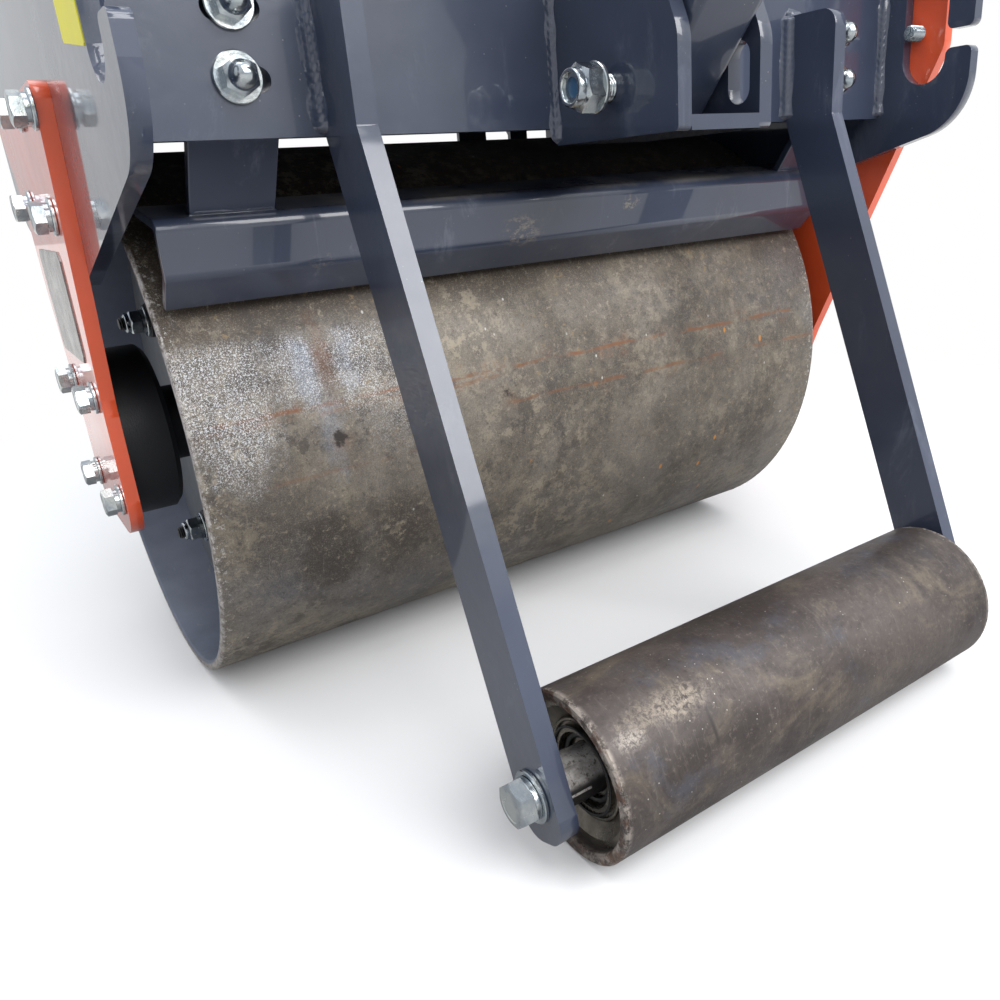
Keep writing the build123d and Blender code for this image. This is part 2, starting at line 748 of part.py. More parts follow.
# Engine: crankcase on four feet, finned leaning cylinder, fan housing and recoil
crank = Vector(0, ENGINE_Y, CRANK_Z)
with BuildPart() as crankcase:
    with BuildSketch(yz(-CASE_HALF)):
        with BuildLine():
            FilletPolyline(
                (ENGINE_Y - CASE_REAR, DECK_Z + ENGINE_FOOT),
                (ENGINE_Y + CASE_REAR, DECK_Z + ENGINE_FOOT),
                (ENGINE_Y + CASE_REAR, DECK_Z + CASE_TOP - 60),
                (ENGINE_Y + 40, DECK_Z + CASE_TOP),
                (ENGINE_Y - 60, DECK_Z + CASE_TOP),
                (ENGINE_Y - CASE_REAR, DECK_Z + CASE_TOP - 50),
                radius=[10, 10, 24, 16, 22, 24],
                close=True,
            )
        make_face()
    extrude(amount=2 * CASE_HALF)
    chamfer(crankcase.faces().filter_by(Axis.X).edges(), length=5)
    with BuildSketch(Plane.XY.offset(DECK_Z)):
        with Locations((0, ENGINE_Y)):
            with GridLocations(2 * CASE_HALF - 30, 2 * CASE_REAR - 30, 2, 2):
                RectangleRounded(46, 46, 8)
    extrude(amount=ENGINE_FOOT + 6)
crankcase.part.label = "crankcase"
finished.append(crankcase.part)

# The fins are built from one block by cutting the gaps between them
fin_along = Vector(0, cos(radians(CYLINDER_LEAN)), sin(radians(CYLINDER_LEAN)))
fin_up = Vector(0, -sin(radians(CYLINDER_LEAN)), cos(radians(CYLINDER_LEAN)))


def fin_plane(s):
    """Plane square to the cylinder at s from the crankshaft."""
    return Plane(origin=crank + fin_along * s, x_dir=(1, 0, 0), z_dir=fin_along)


over_z = DECK_Z + CASE_TOP + PORT_RISE
over_y = ENGINE_Y + CASE_REAR + 28
fin_start = CYLINDER_START + 2 * FIN_PITCH
fin_stack = FIN_COUNT * FIN_PITCH
with BuildPart() as cylinder:
    with BuildSketch(fin_plane(CYLINDER_START)):
        RectangleRounded(FIN_W - 34, FIN_H - 30, 20)
    extrude(amount=fin_stack + 2 * FIN_PITCH)
    for index in range(FIN_COUNT):
        with BuildSketch(fin_plane(fin_start + index * FIN_PITCH)):
            RectangleRounded(FIN_W, FIN_H, 12)
        extrude(amount=FIN_T)
    with BuildSketch(fin_plane(fin_start + fin_stack)):
        RectangleRounded(FIN_W - 8, FIN_H - 8, 14)
    extrude(amount=HEAD_T, taper=12)
    with BuildSketch(Plane.XY.offset(over_z)):
        with Locations((42, over_y), (-42, over_y)):
            Circle(PORT_R)
    extrude(amount=-PORT_DROP)
    split(
        bisect_by=Plane.XZ.offset(-(ENGINE_Y + CASE_REAR)),
        keep=Keep.BOTTOM,
    )
cylinder.part.label = "cylinder"
finished.append(cylinder.part)

crank_axis = Axis(crank, (1, 0, 0))
shroud_in = CASE_HALF
shroud_out = shroud_in + SHROUD_DEPTH
with BuildPart() as fan_shroud:
    with BuildSketch(Plane(origin=crank)):
        with BuildLine():
            FilletPolyline(
                (-shroud_in, 0),
                (-shroud_in, SHROUD_R),
                (-shroud_out, SHROUD_R - 5),
                (-shroud_out, 0),
                radius=[4, 16],
            )
            Line((-shroud_out, 0), (-shroud_in, 0))
        make_face()
    revolve(axis=crank_axis)
fan_shroud.part.label = "fan_shroud"
finished.append(fan_shroud.part)

with BuildPart() as recoil_cover:
    with BuildSketch(Plane(origin=crank)):
        with BuildLine():
            FilletPolyline(
                (-shroud_out, 0),
                (-shroud_out, RECOIL_R),
                (-shroud_out - RECOIL_DEPTH + 8, RECOIL_R - 4),
                (-shroud_out - RECOIL_DEPTH, RECOIL_R - 34),
                (-shroud_out - RECOIL_DEPTH, 0),
                radius=[2, 10, 12],
            )
            Line((-shroud_out - RECOIL_DEPTH, 0), (-shroud_out, 0))
        make_face()
    revolve(axis=crank_axis)
    vent_plane = Plane(
        origin=crank - Vector(shroud_out + RECOIL_DEPTH + 1, 0, 0),
        x_dir=(0, 1, 0),
        z_dir=(1, 0, 0),
    )
    with BuildSketch(vent_plane):
        with PolarLocations(RECOIL_R - 22, 16):
            SlotOverall(24, 5.5)
    extrude(amount=RECOIL_DEPTH * 0.7, mode=Mode.SUBTRACT)
recoil_cover.part.label = "recoil_cover"
finished.append(recoil_cover.part)

# Fuel tank on the crankcase, cap on its top
tank_x = -20.0
tank_low = DECK_Z + TANK_RISE
with BuildPart() as fuel_tank:
    with BuildSketch(Plane.XY.offset(tank_low)):
        with Locations((tank_x, ENGINE_Y - 34)):
            RectangleRounded(TANK_X, TANK_Y, TANK_R)
    extrude(amount=TANK_Z)
    fillet(fuel_tank.faces().sort_by(Axis.Z)[-1].edges(), radius=TANK_R - 4)
    fillet(fuel_tank.faces().sort_by(Axis.Z)[0].edges(), radius=8)
    with BuildSketch(Plane.XY.offset(DECK_Z + CASE_TOP)):
        with Locations((0, ENGINE_Y - 12)):
            RectangleRounded(110, 70, 8)
    extrude(amount=TANK_RISE - CASE_TOP)
fuel_tank.part.label = "fuel_tank"
finished.append(fuel_tank.part)

with BuildPart() as fuel_cap:
    with BuildSketch(Plane.XY.offset(tank_low + TANK_Z)):
        with Locations((tank_x, ENGINE_Y - 34)):
            Circle(CAP_R)
            with PolarLocations(CAP_R + 1, 12):
                Circle(3.5, mode=Mode.SUBTRACT)
    extrude(amount=CAP_H)
    fillet(fuel_cap.faces().sort_by(Axis.Z)[-1].edges(), radius=1.5)
fuel_cap.part.label = "fuel_cap"
finished.append(fuel_cap.part)

# Air cleaner and silencer stand side by side on the cylinder's two ports
with BuildPart() as air_cleaner:
    with BuildSketch(Plane.XY.offset(over_z)):
        with Locations((CLEANER_X / 2 + 6, over_y)):
            RectangleRounded(CLEANER_X, CLEANER_Y, 18)
    extrude(amount=CLEANER_Z, taper=3)
    fillet(air_cleaner.faces().sort_by(Axis.Z)[-1].edges(), radius=12)
air_cleaner.part.label = "air_cleaner"
finished.append(air_cleaner.part)

with BuildPart() as silencer:
    with BuildSketch(yz(-MUFFLER_X - 6)):
        with Locations((over_y, over_z + MUFFLER_Z / 2)):
            RectangleRounded(MUFFLER_Y, MUFFLER_Z, 30)
    extrude(amount=MUFFLER_X)
    fillet(silencer.faces().filter_by(Axis.X).edges(), radius=8)
    with BuildSketch(Plane.XZ.offset(-(over_y + MUFFLER_Y / 2 - 2))):
        with Locations((-MUFFLER_X + 28, over_z + MUFFLER_Z / 2)):
            Circle(PIPE_R)
            Circle(PIPE_R - 2, mode=Mode.SUBTRACT)
    extrude(amount=-24)
silencer.part.label = "silencer"
finished.append(silencer.part)

# Hydraulic pump on the driven end of the crankshaft
with BuildPart() as pump:
    with BuildSketch(Plane(origin=crank)):
        with BuildLine():
            FilletPolyline(
                (CASE_HALF, 0),
                (CASE_HALF, PUMP_R + 20),
                (CASE_HALF + 14, PUMP_R + 20),
                (CASE_HALF + 30, PUMP_R - 8),
                (CASE_HALF + PUMP_L, PUMP_R - 8),
                (CASE_HALF + PUMP_L, 0),
                radius=[2, 8, 8, 6],
            )
            Line((CASE_HALF + PUMP_L, 0), (CASE_HALF, 0))
        make_face()
    revolve(axis=crank_axis)
    with BuildSketch(yz(CASE_HALF + PUMP_L)):
        with Locations((ENGINE_Y, CRANK_Z)):
            RectangleRounded(62, 74, 8)
    extrude(amount=34)
pump.part.label = "pump"
finished.append(pump.part)

# Lifting bow: flat bar bent over the engine, with an eye lug on top
with BuildPart() as lifting_bow:
    with BuildSketch(Plane.XZ.offset(-(BOW_Y + BOW_W / 2))):
        with BuildLine():
            FilletPolyline(
                (-BOW_HALF, DECK_Z),
                (-BOW_HALF, BOW_TOP),
                (BOW_HALF, BOW_TOP),
                (BOW_HALF, DECK_Z),
                radius=BOW_BEND,
            )
        trace(line_width=BOW_T)
    extrude(amount=BOW_W)
    for side, sign in SIDES:
        with BuildSketch(Plane.XY.offset(DECK_Z)):
            with Locations((sign * (BOW_HALF - 12), BOW_Y)):
                RectangleRounded(64, BOW_W + 40, 8)
        extrude(amount=10)
    with BuildSketch(Plane.XZ.offset(-(BOW_Y + 6))):
        with Locations((0, BOW_TOP + 30)):
            Circle(EYE_LUG_R)
        with Locations((0, BOW_TOP + 6)):
            Rectangle(2 * EYE_LUG_R + 24, 14)
        with Locations((0, BOW_TOP + 34)):
            Circle(EYE_R, mode=Mode.SUBTRACT)
    extrude(amount=12)
lifting_bow.part.label = "lifting_bow"
finished.append(lifting_bow.part)

# Shelf on the front cross plate, water tank on it, filler cap on the tank
with BuildPart() as tank_shelf:
    with BuildSketch(yz(-SHELF_HALF)):
        with BuildLine():
            Polyline(
                (FRAME_FRONT, SHELF_Z - SHELF_T),
                (FRAME_FRONT + WATER_DEPTH, SHELF_Z - SHELF_T),
                (FRAME_FRONT + WATER_DEPTH, SHELF_Z + 22),
                (FRAME_FRONT + WATER_DEPTH - 5, SHELF_Z + 22),
                (FRAME_FRONT + WATER_DEPTH - 5, SHELF_Z),
                (FRAME_FRONT, SHELF_Z),
                close=True,
            )
        make_face()
    extrude(amount=2 * SHELF_HALF)
tank_shelf.part.label = "tank_shelf"
finished.append(tank_shelf.part)

water_in = FRAME_FRONT + WATER_GAP
water_out = FRAME_FRONT + WATER_DEPTH - 5 - WATER_GAP
with BuildPart() as water_tank:
    with BuildSketch(Plane.XY.offset(SHELF_Z + WATER_GAP)):
        with Locations((0, (water_in + water_out) / 2)):
            RectangleRounded(2 * WATER_HALF, water_out - water_in, WATER_R)
    extrude(amount=WATER_TOP - SHELF_Z)
    fillet(water_tank.faces().sort_by(Axis.Z)[-1].edges(), radius=WATER_R - 6)
    fillet(water_tank.faces().sort_by(Axis.Z)[0].edges(), radius=6)
    with BuildSketch(Plane.XZ.offset(-water_out)):
        with Locations(*[(sign * WATER_DENT_X, (SHELF_Z + WATER_TOP) / 2) for _, sign in SIDES]):
            SlotOverall(WATER_DENT_L, WATER_DENT_W, rotation=90)
    extrude(amount=7, taper=30, mode=Mode.SUBTRACT)
water_tank.part.label = "water_tank"
finished.append(water_tank.part)

with BuildPart() as filler_cap:
    with BuildSketch(Plane.XY.offset(WATER_TOP + WATER_GAP)):
        with Locations((FILLER_X, (water_in + water_out) / 2)):
            Circle(FILLER_R)
            with PolarLocations(FILLER_R + 1.5, 16):
                Circle(4, mode=Mode.SUBTRACT)
    extrude(amount=FILLER_H)
filler_cap.part.label = "filler_cap"
finished.append(filler_cap.part)

# Sprinkler pipe with a row of holes, on two strap hangers from the deck
with BuildPart() as spray_pipe:
    with BuildSketch(yz(-SPRAY_HALF)):
        with Locations((PIPE_Y, PIPE_Z)):
            Circle(SPRAY_R)
    extrude(amount=2 * SPRAY_HALF)
    for side, sign in SIDES:
        with BuildSketch(Plane.XY.offset(PIPE_Z)):
            with Locations((sign * HANGER_X, PIPE_Y)):
                Rectangle(HANGER_W, HANGER_T)
        extrude(amount=FRAME_TOP - DECK_T - PIPE_Z)
spray_pipe.part.label = "spray_pipe"
finished.append(spray_pipe.part)

# The origin goes under the middle of the whole machine
everything = Compound(children=[piece.moved(Location()) for piece in finished])
extent = everything.bounding_box()
shift = Location((-extent.center().X, -extent.center().Y, -extent.min.Z))
print("shift in mm", -extent.center().X, -extent.center().Y, -extent.min.Z)
for piece in finished:
    placed = piece.moved(shift)
    placed.label = piece.label
    export_step(placed, f"parts/{placed.label}.step")
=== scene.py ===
"""Looks for the walk-behind roller: paint, steel, fasteners, welds and fittings.

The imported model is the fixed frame. Places are given in millimetres about the middle of
the drum and the ground, as in the part's source, and at() turns them into metres.
"""

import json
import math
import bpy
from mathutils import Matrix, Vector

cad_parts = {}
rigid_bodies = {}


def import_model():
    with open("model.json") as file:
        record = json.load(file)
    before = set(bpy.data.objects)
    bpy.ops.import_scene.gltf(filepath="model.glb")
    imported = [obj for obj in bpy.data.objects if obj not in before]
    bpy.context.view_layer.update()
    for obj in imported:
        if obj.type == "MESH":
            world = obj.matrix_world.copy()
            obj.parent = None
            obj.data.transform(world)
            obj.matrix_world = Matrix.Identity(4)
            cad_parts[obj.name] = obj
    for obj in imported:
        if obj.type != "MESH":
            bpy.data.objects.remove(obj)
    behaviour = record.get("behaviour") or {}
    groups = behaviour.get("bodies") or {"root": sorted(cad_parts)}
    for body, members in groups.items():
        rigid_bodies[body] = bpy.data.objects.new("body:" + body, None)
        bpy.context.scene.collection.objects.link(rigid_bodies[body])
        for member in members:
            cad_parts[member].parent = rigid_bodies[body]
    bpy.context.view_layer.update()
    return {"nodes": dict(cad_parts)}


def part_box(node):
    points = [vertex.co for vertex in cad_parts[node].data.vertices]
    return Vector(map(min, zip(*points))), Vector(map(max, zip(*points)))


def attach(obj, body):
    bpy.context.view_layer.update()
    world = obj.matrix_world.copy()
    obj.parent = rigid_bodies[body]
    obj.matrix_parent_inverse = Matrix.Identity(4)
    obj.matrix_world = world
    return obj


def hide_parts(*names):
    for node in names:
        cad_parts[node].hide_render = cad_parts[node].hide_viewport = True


bl_info = {
    "name": "Walk-behind roller dressing",
    "version": (1, 0, 0),
    "blender": (4, 5, 0),
    "location": "View3D > Sidebar > Roller",
    "description": "Paint, steel, fasteners, welds and fittings for the packed roller",
    "category": "Object",
}

import bmesh
import bpy
import numpy as np
from bpy.props import FloatProperty, FloatVectorProperty, IntProperty, PointerProperty
from mathutils import Matrix, Vector

for leftover in list(bpy.data.objects):
    bpy.data.objects.remove(leftover)
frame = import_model()
drum_low, drum_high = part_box("drum_shell")
DRUM_X = (drum_low.x + drum_high.x) / 2
DRUM_Y = (drum_low.y + drum_high.y) / 2
DRUM_R = (drum_high.z - drum_low.z) / 2

# The camera, fitted to the edges of both rollers
CAMERA_AT = (-388.7, -742.1, 366.7)
CAMERA_TURN = 33.927
CAMERA_DIP = 20.755
CAMERA_ROLL = -4.069
CAMERA_FOCAL = 854.28
CAMERA_MIDDLE = (555.35, 505.48)
IMAGE_SIZE = 1000.0


def at(x, y, z):
    """Metres of the row frame for a place in millimetres about the drum."""
    return Vector((x / 1000 + DRUM_X, y / 1000 + DRUM_Y, z / 1000))


def srgb(red, green, blue):
    """Linear colour for a colour given as it looks on screen, 0 to 255."""
    shown = np.array((red, green, blue)) / 255
    linear = np.where(shown <= 0.04045, shown / 12.92, ((shown + 0.055) / 1.055) ** 2.4)
    return tuple(float(v) for v in linear)


# Surfaces


def grid_faces(rows, cols, wrap_rows=False, wrap_cols=False):
    """Four-sided faces of a grid whose points are numbered row by row."""
    i = np.arange(rows if wrap_rows else rows - 1)
    j = np.arange(cols if wrap_cols else cols - 1)
    a, b = np.meshgrid(i, j, indexing="ij")
    c, d = (a + 1) % rows, (b + 1) % cols
    corners = [a * cols + b, a * cols + d, c * cols + d, c * cols + b]
    return np.stack(corners, -1).reshape(-1, 4)


def lathe(height, radius, sides=None):
    """Closed surface about local Z. height and radius are arrays of rows by sides, or of
    rows alone; point (i, j) stands at angle 2 pi j / sides, radius out and height up."""
    height, radius = np.asarray(height, float), np.asarray(radius, float)
    if radius.ndim == 1:
        radius = np.repeat(radius[:, None], sides, 1)
    if height.ndim == 1:
        height = np.repeat(height[:, None], radius.shape[1], 1)
    rows, sides = radius.shape
    angle = np.linspace(0, 2 * np.pi, sides, endpoint=False)
    points = np.stack([radius * np.cos(angle), radius * np.sin(angle), height], -1)
    return points.reshape(-1, 3), grid_faces(rows, sides, wrap_cols=True)


def tube(path, radius, sides=12):
    """Tube along a path: at each point a circle of the local radius stands square to the
    path's direction. Both ends close to a point."""
    path = np.asarray(path, float)
    radius = np.broadcast_to(radius, len(path)).astype(float)
    ahead = np.gradient(path, axis=0)
    ahead /= np.linalg.norm(ahead, axis=1)[:, None]
    side = np.zeros_like(path)
    seed = np.array((0.0, 0.0, 1.0)) if abs(ahead[0, 2]) < 0.9 else np.array((1.0, 0.0, 0.0))
    for k, direction in enumerate(ahead):
        seed = seed - direction * (seed @ direction)
        seed /= np.linalg.norm(seed)
        side[k] = seed
    over = np.cross(ahead, side)
    angle = np.linspace(0, 2 * np.pi, sides, endpoint=False)
    ring = side[:, None] * np.cos(angle)[None, :, None]
    ring = ring + over[:, None] * np.sin(angle)[None, :, None]
    points = path[:, None] + ring * radius[:, None, None]
    points = np.concatenate([
        np.repeat(path[:1, None], sides, 1), points, np.repeat(path[-1:, None], sides, 1)
    ])
    return points.reshape(-1, 3), grid_faces(len(path) + 2, sides, wrap_cols=True)


def smooth_path(points, count):
    """Catmull-Rom curve through the given points, sampled at count places."""
    points = np.asarray(points, float)
    padded = np.concatenate([[2 * points[0] - points[1]], points, [2 * points[-1] - points[-2]]])
    t = np.linspace(0, len(points) - 1, count)
    k = np.minimum(t.astype(int), len(points) - 2)
    f = (t - k)[:, None]
    a, b, c, d = padded[k], padded[k + 1], padded[k + 2], padded[k + 3]
    return 0.5 * (2 * b + (c - a) * f + (2 * a - 5 * b + 4 * c - d) * f ** 2
                  + (3 * b - a - 3 * c + d) * f ** 3)


def rounded_slab(size, edge, steps=4):
    """Box with rounded edges: a point of the unit cube's grid is pulled to the nearest
    point of the inner box, then pushed out by the edge radius."""
    half = np.array(size, float) / 2
    inner = half - edge
    ticks = np.concatenate([
        -1 + np.linspace(0, 1, steps + 1) * 0.2,
        1 - np.linspace(1, 0, steps + 1) * 0.2,
    ])
    count = len(ticks)
    a, b = np.meshgrid(ticks, ticks, indexing="ij")
    all_points, all_faces = [], []
    for axis in range(3):
        for end in (-1, 1):
            cube = np.full((count, count, 3), float(end))
            cube[..., (axis + 1) % 3] = a
            cube[..., (axis + 2) % 3] = b
            way = np.where(np.abs(cube) > 0.8, np.sign(cube) * (np.abs(cube) - 0.8) / 0.2, 0)
            length = np.linalg.norm(way, axis=-1, keepdims=True)
            core = np.clip(cube / 0.8, -1, 1) * inner
            all_points.append((core + way / np.maximum(length, 1e-9) * edge).reshape(-1, 3))
            faces = grid_faces(count, count) + len(all_faces) * count * count
            all_faces.append(faces)
    return np.concatenate(all_points), np.concatenate(all_faces)


def standing(surface, origin, direction=(0, 0, 1), turn=0.0):
    """Moves a surface given in millimetres: its local Z is turned to direction, then it is
    put at origin, in millimetres about the drum."""
    points, faces = surface
    up = Vector(direction).normalized()
    side = Vector((1, 0, 0)) if abs(up.x) < 0.9 else Vector((0, 1, 0))
    side = (side - up * up.dot(side)).normalized()
    over = up.cross(side)
    c, s = math.cos(math.radians(turn)), math.sin(math.radians(turn))
    axes = np.array([side * c + over * s, over * c - side * s, up])
    return points @ axes + np.array(origin, float), faces


def fitted(place, way, *forms, turn=0.0):
    """Forms that stand on one place and face one way, each with the name of its finish."""
    return [(standing(form, place, way, turn), finish) for form, finish in forms]


def about_drum(corner):
    """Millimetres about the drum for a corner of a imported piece's box."""
    return (np.array(corner) - (DRUM_X, DRUM_Y, 0.0)) * 1000


def make_piece(name, body, surfaces, smooth=32.0):
    """Joins surfaces, given as (points, faces) in millimetres with the name of a finish each,
    into one object at the origin, in metres of the row frame."""
    used, points, faces, indices, base = [], [], [], [], 0
    for (part_points, part_faces), finish in surfaces:
        if finish not in used:
            used.append(finish)
        points.append(part_points)
        faces.append(part_faces + base)
        indices.append(np.full(len(part_faces), used.index(finish)))
        base += len(part_points)
    points = np.concatenate(points) / 1000 + np.array((DRUM_X, DRUM_Y, 0.0))
    faces = np.concatenate(faces)
    mesh = bpy.data.meshes.new(name)
    mesh.vertices.add(len(points))
    mesh.vertices.foreach_set("co", points.astype(np.float32).ravel())
    mesh.loops.add(faces.size)
    mesh.loops.foreach_set("vertex_index", faces.astype(np.int32).ravel())
    mesh.polygons.add(len(faces))
    mesh.polygons.foreach_set("loop_start", np.arange(0, faces.size, 4, dtype=np.int32))
    mesh.polygons.foreach_set("loop_total", np.full(len(faces), 4, np.int32))
    for finish in used:
        mesh.materials.append(FINISH[finish])
    mesh.polygons.foreach_set("material_index", np.concatenate(indices).astype(np.int32))
    mesh.update(calc_edges=True)
    mesh.validate()
    work = bmesh.new()
    work.from_mesh(mesh)
    bmesh.ops.remove_doubles(work, verts=work.verts, dist=2e-7)
    bmesh.ops.dissolve_degenerate(work, edges=work.edges, dist=1e-7)
    bmesh.ops.recalc_face_normals(work, faces=work.faces)
    for face in work.faces:
        face.smooth = True
    limit = math.radians(smooth)
    for edge in work.edges:
        edge.smooth = len(edge.link_faces) == 2 and edge.calc_face_angle(0) < limit
    work.to_mesh(mesh)
    work.free()
    piece = bpy.data.objects.new(name, mesh)
    bpy.context.scene.collection.objects.link(piece)
    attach(piece, body)
    return piece


# Fastener forms, in millimetres, standing on local Z = 0


def turned(rows, base=0.0):
    """lathe() of rows of height and radius; either may be one number for all the sides."""
    sides = max(np.size(value) for row in rows for value in row)
    heights, radii = ([np.broadcast_to(row[k], sides) for row in rows] for k in (0, 1))
    return lathe(np.stack(heights) + base, np.stack(radii))


def rod(radius, start, end, sides):
    """Plain round bar from start to end on local Z."""
    return lathe([start, start, end, end], [0, radius, radius, 0], sides)


def hexagon(flats, crown_share, sides=48):
    """Distance from the middle of a hexagon to its outline at each angle, the radius of its
    flat crown, and how far a 30 degree cone from that crown has dropped at the outline."""
    angle = np.linspace(0, 2 * np.pi, sides, endpoint=False)
    corner = (angle + np.pi / 6) % (np.pi / 3) - np.pi / 6
    rim = flats / 2 / np.cos(corner)
    crown = flats * crown_share
    return rim, crown, np.maximum(rim - crown, 0) * math.tan(math.radians(30))


def hex_head(flats, height, base=0.0, dish=0.25):
    """Hexagon whose top corners are cut by a 30 degree cone; the top is a little dished."""
    rim, crown, drop = hexagon(flats, 0.475)
    top = base + height
    return turned([(base, 0), (base, rim), (top - drop, rim), (top, crown), (top, crown * 0.82),
                   (top - dish, crown * 0.78), (top - dish, 0)])


def washer(radius, thickness, base=0.0, bore=0.0):
    """Flat ring with softened outer edges."""
    soft = thickness * 0.22
    height = np.array([0, 0, soft, thickness - soft, thickness, thickness, 0]) + base
    return lathe(height, [bore, radius - soft, radius, radius, radius - soft, bore, bore], 40)


def capped(rings):
    """Closed surface through rings of points, with a point in the middle of each end."""
    rows, sides = rings.shape[:2]
    first, last = (end.mean(1, keepdims=True).repeat(sides, 1) for end in (rings[:1], rings[-1:]))
    points = np.concatenate([first, rings, last])
    return points.reshape(-1, 3), grid_faces(rows + 2, sides, wrap_cols=True)


def spring_washer(radius, thickness, base=0.0, bore=6.0):
    """Split ring that climbs a little round its turn: height grows with the angle."""
    angle = np.linspace(math.radians(6), math.radians(354), 40)
    climb = (angle / (2 * np.pi) - 0.5) * thickness * 0.35
    square = np.array([(bore, 0), (radius, 0), (radius, thickness), (bore, thickness)])
    across, up = square.T
    return capped(np.stack([
        np.cos(angle)[:, None] * across, np.sin(angle)[:, None] * across, base + climb[:, None] + up
    ], -1))


def thread(radius, length, pitch, base=0.0, depth=0.09):
    """Screw thread: the radius falls and rises once each pitch, and the wave climbs one
    pitch in a turn. The end is chamfered and closed."""
    sides, steps = 24, max(6, int(length / pitch * 6))
    angle = np.linspace(0, 2 * np.pi, sides, endpoint=False)
    height = np.linspace(0, length, steps + 1)
    phase = (height[:, None] / pitch - angle[None] / (2 * np.pi)) % 1
    wave = np.abs(phase * 2 - 1)
    rim = radius * (1 - depth * 2 * wave)
    rim *= np.clip((length - height) / pitch * 0.16 + 0.84, 0.84, 1)[:, None]
    return turned([(0, 0), *zip(height, rim), (length, 0)], base)


def dome_nut(flats, height, base=0.0):
    """Cap nut: a chamfered hexagon, a short neck and a half-round dome on it."""
    rim, crown, drop = hexagon(flats, 0.47)
    dome = flats * 0.44
    rows = [(0, 0), (0, rim), (height - drop, rim), (height, crown), (height + 0.4, dome * 0.97)]
    for bow in np.linspace(0, np.pi / 2, 9):
        rows.append((height + 1.2 + dome * np.sin(bow), dome * np.cos(bow)))
    return turned(rows, base)


def lock_nut(flats, height, base=0.0):
    """Lock nut: chamfered hexagon, then a round collar that curls over its inner ring."""
    rim, crown, drop = hexagon(flats, 0.47)
    shelf, collar, bore, lip = height * 0.68, crown * 0.95, crown * 0.5, 1.5
    rows = [(0, bore), (0, rim), (shelf - drop, rim), (shelf, crown), (shelf + 0.3, collar)]
    for curl in np.linspace(0, np.pi, 7):
        rows.append((height - lip + lip * np.sin(curl), collar - lip + lip * np.cos(curl)))
    rows += [(height - 2.2, collar - 2 * lip), (height - 2.2, bore), (0, bore)]
    return turned(rows, base)


def weld_bead(start, end, first, second, size, seed):
    """Fillet weld in a corner. Along the line from start to end the section is the corner
    itself and a bulge from one plate to the other; its size ripples with the passes of
    the torch and wanders a little. first and second are the ways along the two plates."""
    start, end = np.array(start, float), np.array(end, float)
    length = np.linalg.norm(end - start)
    steps = max(8, int(length / 0.8))
    rng = np.random.default_rng(seed)
    along = np.linspace(0, 1, steps)
    slow = np.interp(along, np.linspace(0, 1, max(4, int(length / 9))),
                     rng.uniform(-1, 1, max(4, int(length / 9))))
    bow = np.linspace(0, 1, 9)
    drift = 0.9 * np.cumsum(slow)[:, None] / max(1.0, np.abs(np.cumsum(slow)).max())
    passes = along[:, None] * length / 5.2 + 0.95 * np.sin(np.pi * bow)[None] + drift
    ripple = 0.07 * np.abs(np.sin(np.pi * passes)) ** 0.6 + 0.15 * slow[:, None]
    taper = np.clip(np.minimum(along, 1 - along) * length / 3.0, 0.05, 1) ** 0.5
    reach = size * taper[:, None] * (0.95 + ripple)
    lips = 0.20 * np.abs(2 * bow - 1)[None] ** 5 * (1 + 0.8 * np.roll(slow, 3)[:, None])
    bulge = 0.72 + lips
    a, b = np.cos(bow * np.pi / 2), np.sin(bow * np.pi / 2)
    weight = bulge * reach
    first, second = np.array(first, float), np.array(second, float)
    line = start + along[:, None] * (end - start)
    skin = line[:, None] + weight[..., None] * (a[None, :, None] * first + b[None, :, None] * second)
    root = (line - 0.3 * (first + second))[:, None]
    return capped(np.concatenate([root, skin], 1))


# Finishes


